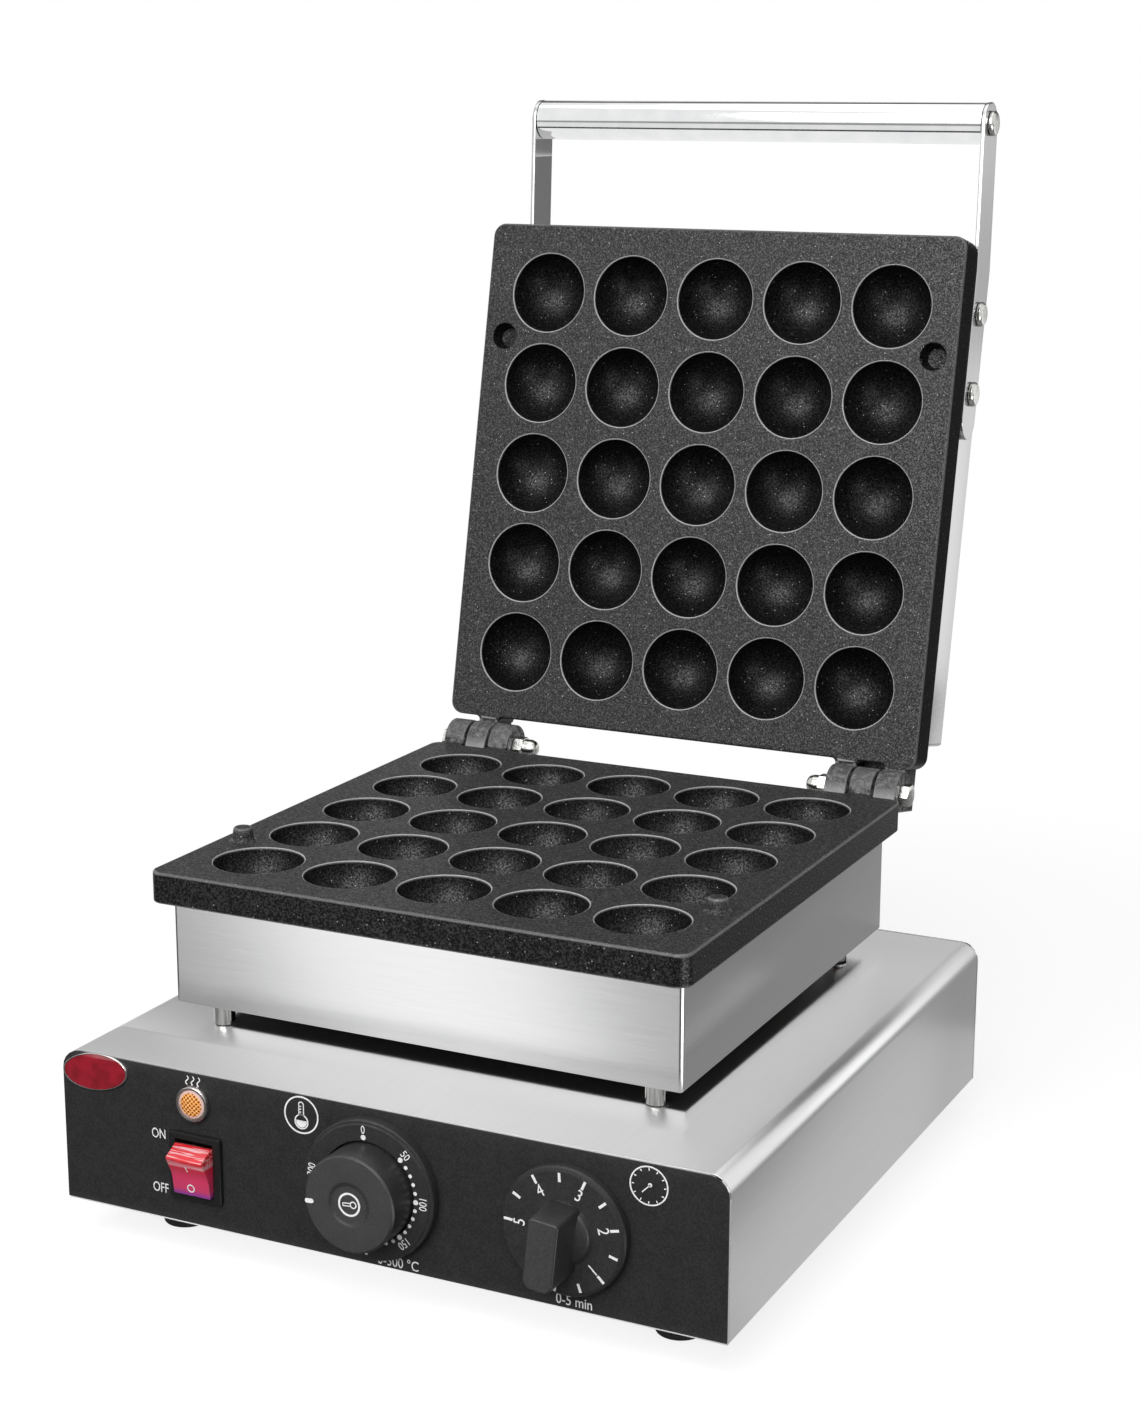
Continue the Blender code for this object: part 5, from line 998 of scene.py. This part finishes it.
def studio():
    """A pale floor, a white room, three lamps, and the cards that draw the bands on the metal. Mirror
    rays see the room dark below them, but not behind the object, and matt surfaces get a tenth of
    its light."""
    scene = bpy.context.scene
    scene.view_settings.view_transform = "Standard"
    pale_floor()
    scene.world = bpy.data.worlds.new("white_room")
    scene.world.use_nodes = True
    put, sky = partial(add, scene.world.node_tree), scene.world.node_tree.nodes["Background"]
    sky.inputs["Color"].default_value = WHITE
    rays = put("LightPath")
    way = put("SeparateXYZ", ((put("TexCoord"), "Generated"),))
    below = put("MapRange", ((way, "Z"), -0.10, -0.02, 0.12))
    behind = put("MapRange", ((way, "Y"), 0.3, 0.6, 0, 0.6))
    mirrored = put("Math.MAXIMUM", (below, behind))
    room = put("Mix", {0: (rays, "Is Glossy Ray"), 2: 1.0, 3: mirrored}, data_type="FLOAT")
    soft = put("MapRange", ((rays, "Is Diffuse Ray"), 0, 1, 1.0, 0.1))
    put("Math.MULTIPLY", (room, soft), into=(sky, "Strength"))
    lamps = (("key", (0.04, -1.85, 1.5), 2.0, 54.0), ("top", (-0.2, 0.2, 1.9), 1.4, 5.0),
             ("rim", (1.0, -1.3, 1.5), 0.25, 4.0))
    for name, place, size, watts in lamps:
        lamp = bpy.data.lights.new(name, "AREA")
        lamp.shape, lamp.size, lamp.energy = "SQUARE", size, watts
        thing = linked(name, lamp)
        thing.location = place
        thing.rotation_euler = (Vector(place) - Vector((0, 0, 0.2))).to_track_quat("Z", "Y").to_euler()
    # Round the foot of the lower housing: what its walls and the base under it mirror in each other
    card("under_tray_black", 0.0, (-115.5, 114.5), (-135.5, 80), 90.5)
    card("front_gap_white", 0.92, (-115.5, 114.5), -135.5, (90.5, 104.3), 1)
    card("right_gap_grey", 0.70, 114.5, (-135, 80), (90.5, 104.3), 1)
    card("front_underside_white", 0.92, (-122, 122), (-157, -135.5), 104.2, -1,
         ((0, 0.7), (0.3, 0.95), (0.5, 1.0), (0.8, 0.92), (1, 0.84)))
    card("right_underside_grey", 0.70, (114.5, 122.6), (-135, 80), 104.2, -1)
    card("front_wall_white", 0.92, (-230, 122), -157, (89.6, 160), 1,
         ((0, 0.55), (0.25, 0.6), (0.45, 0.92), (0.66, 1.0), (0.86, 0.92), (1, 0.86)))
    card("right_wall_grey", 0.70, 122.6, (-156, 80), (89.6, 155), 1)
    card("front_ledge_white", 1.05, (-158, 158), (-192, -137), 89.2, 1,
         ((0, 0.42), (0.12, 0.42), (0.4, 0.95), (0.56, 1.0), (0.76, 0.72), (1, 0.5)))
    card("right_ledge_grey", 0.32, (114, 158), (-137, 124), 89.2, 1)
    # What the film, the base's side and the housings' far reflections meet, in the room's distances
    card("film_black", 0.12, (-170, 170), -199, (18, 86), -1)
    card("front_grey", 0.60, (-3200, -200), -3000, (-2200, -250))
    card("front_white", 1.5, (-2200, -1080), -2950, (-2200, -250))
    card("right_front_white", 4.5, 3000, (-3000, 500), (-2200, -250))
    card("right_near_grey", 0.60, (158, 262), (-150, 240), 2)
    card("right_rear_grey", 0.34, (158, 262), (240, 700), 2)
    card("right_far_grey", 0.27, (262, 900), (-100, 950), 2)
    card("rear_left_grey", 0.20, (-2400, -1150), 2000, (300, 1900))
    card("rear_middle_grey", 0.68, (-1150, -50), 2000, (300, 1900))
    card("rear_black", 0.0, (0, 650), 1200, (500, 1500))
    card("rear_white", 1.5, (650, 1200), 1200, (-60, 500))
    card("rear_right_white", 1.05, (500, 1900), 2800, (-900, 100))
    # Lines along the tube, the lid plate's right edge and the arms
    card("grip_far_grey", 0.40, (-220, 121), (40, 125), 462, 1)
    card("grip_middle_white", 0.90, (-180, 121), (125, 178), 462, 1)
    card("grip_near_black", 0.08, (-180, 121), (178, 184), 462, 1)
    card("grip_low_white", 1.0, (-180, 121), (184, 235), 462, 1)
    card("lid_edge_black", 0.10, 128.8, (-275, -10), (-3, 29), -1, (), on_lid)
    card("handle_black", 0.24, (-60, 200), 600, (330, 560))
    card("over_handle_black", 0.15, (-700, 400), 520, (680, 900))


def camera():
    """The photograph's view: place, the direction back from the subject, roll and lens."""
    back = Vector((0.42863, -0.87307, 0.23242)).normalized()
    right = Vector((0, 0, 1)).cross(back).normalized()
    up = back.cross(right)
    turn = Matrix((right, up, back)).transposed() @ Matrix.Rotation(radians(0.11), 3, "Z")
    data = bpy.data.cameras.new("photo_camera")
    data.lens, data.sensor_width, data.clip_start = 66.34, 36.0, 0.05
    thing = linked("photo_camera", data)
    thing.matrix_world = Matrix.Translation((0.51302, -1.05562, 0.49939)) @ turn.to_4x4()
    bpy.context.scene.camera = thing


for build in (camera, studio, finish_solids, cast_plates, sheet_work, handle, hinge_fixings, pilot_lamp,
              rocker_switch, thermostat, timer, panel_print, dial_print, timer_print, badge, rear_fittings):
    build()
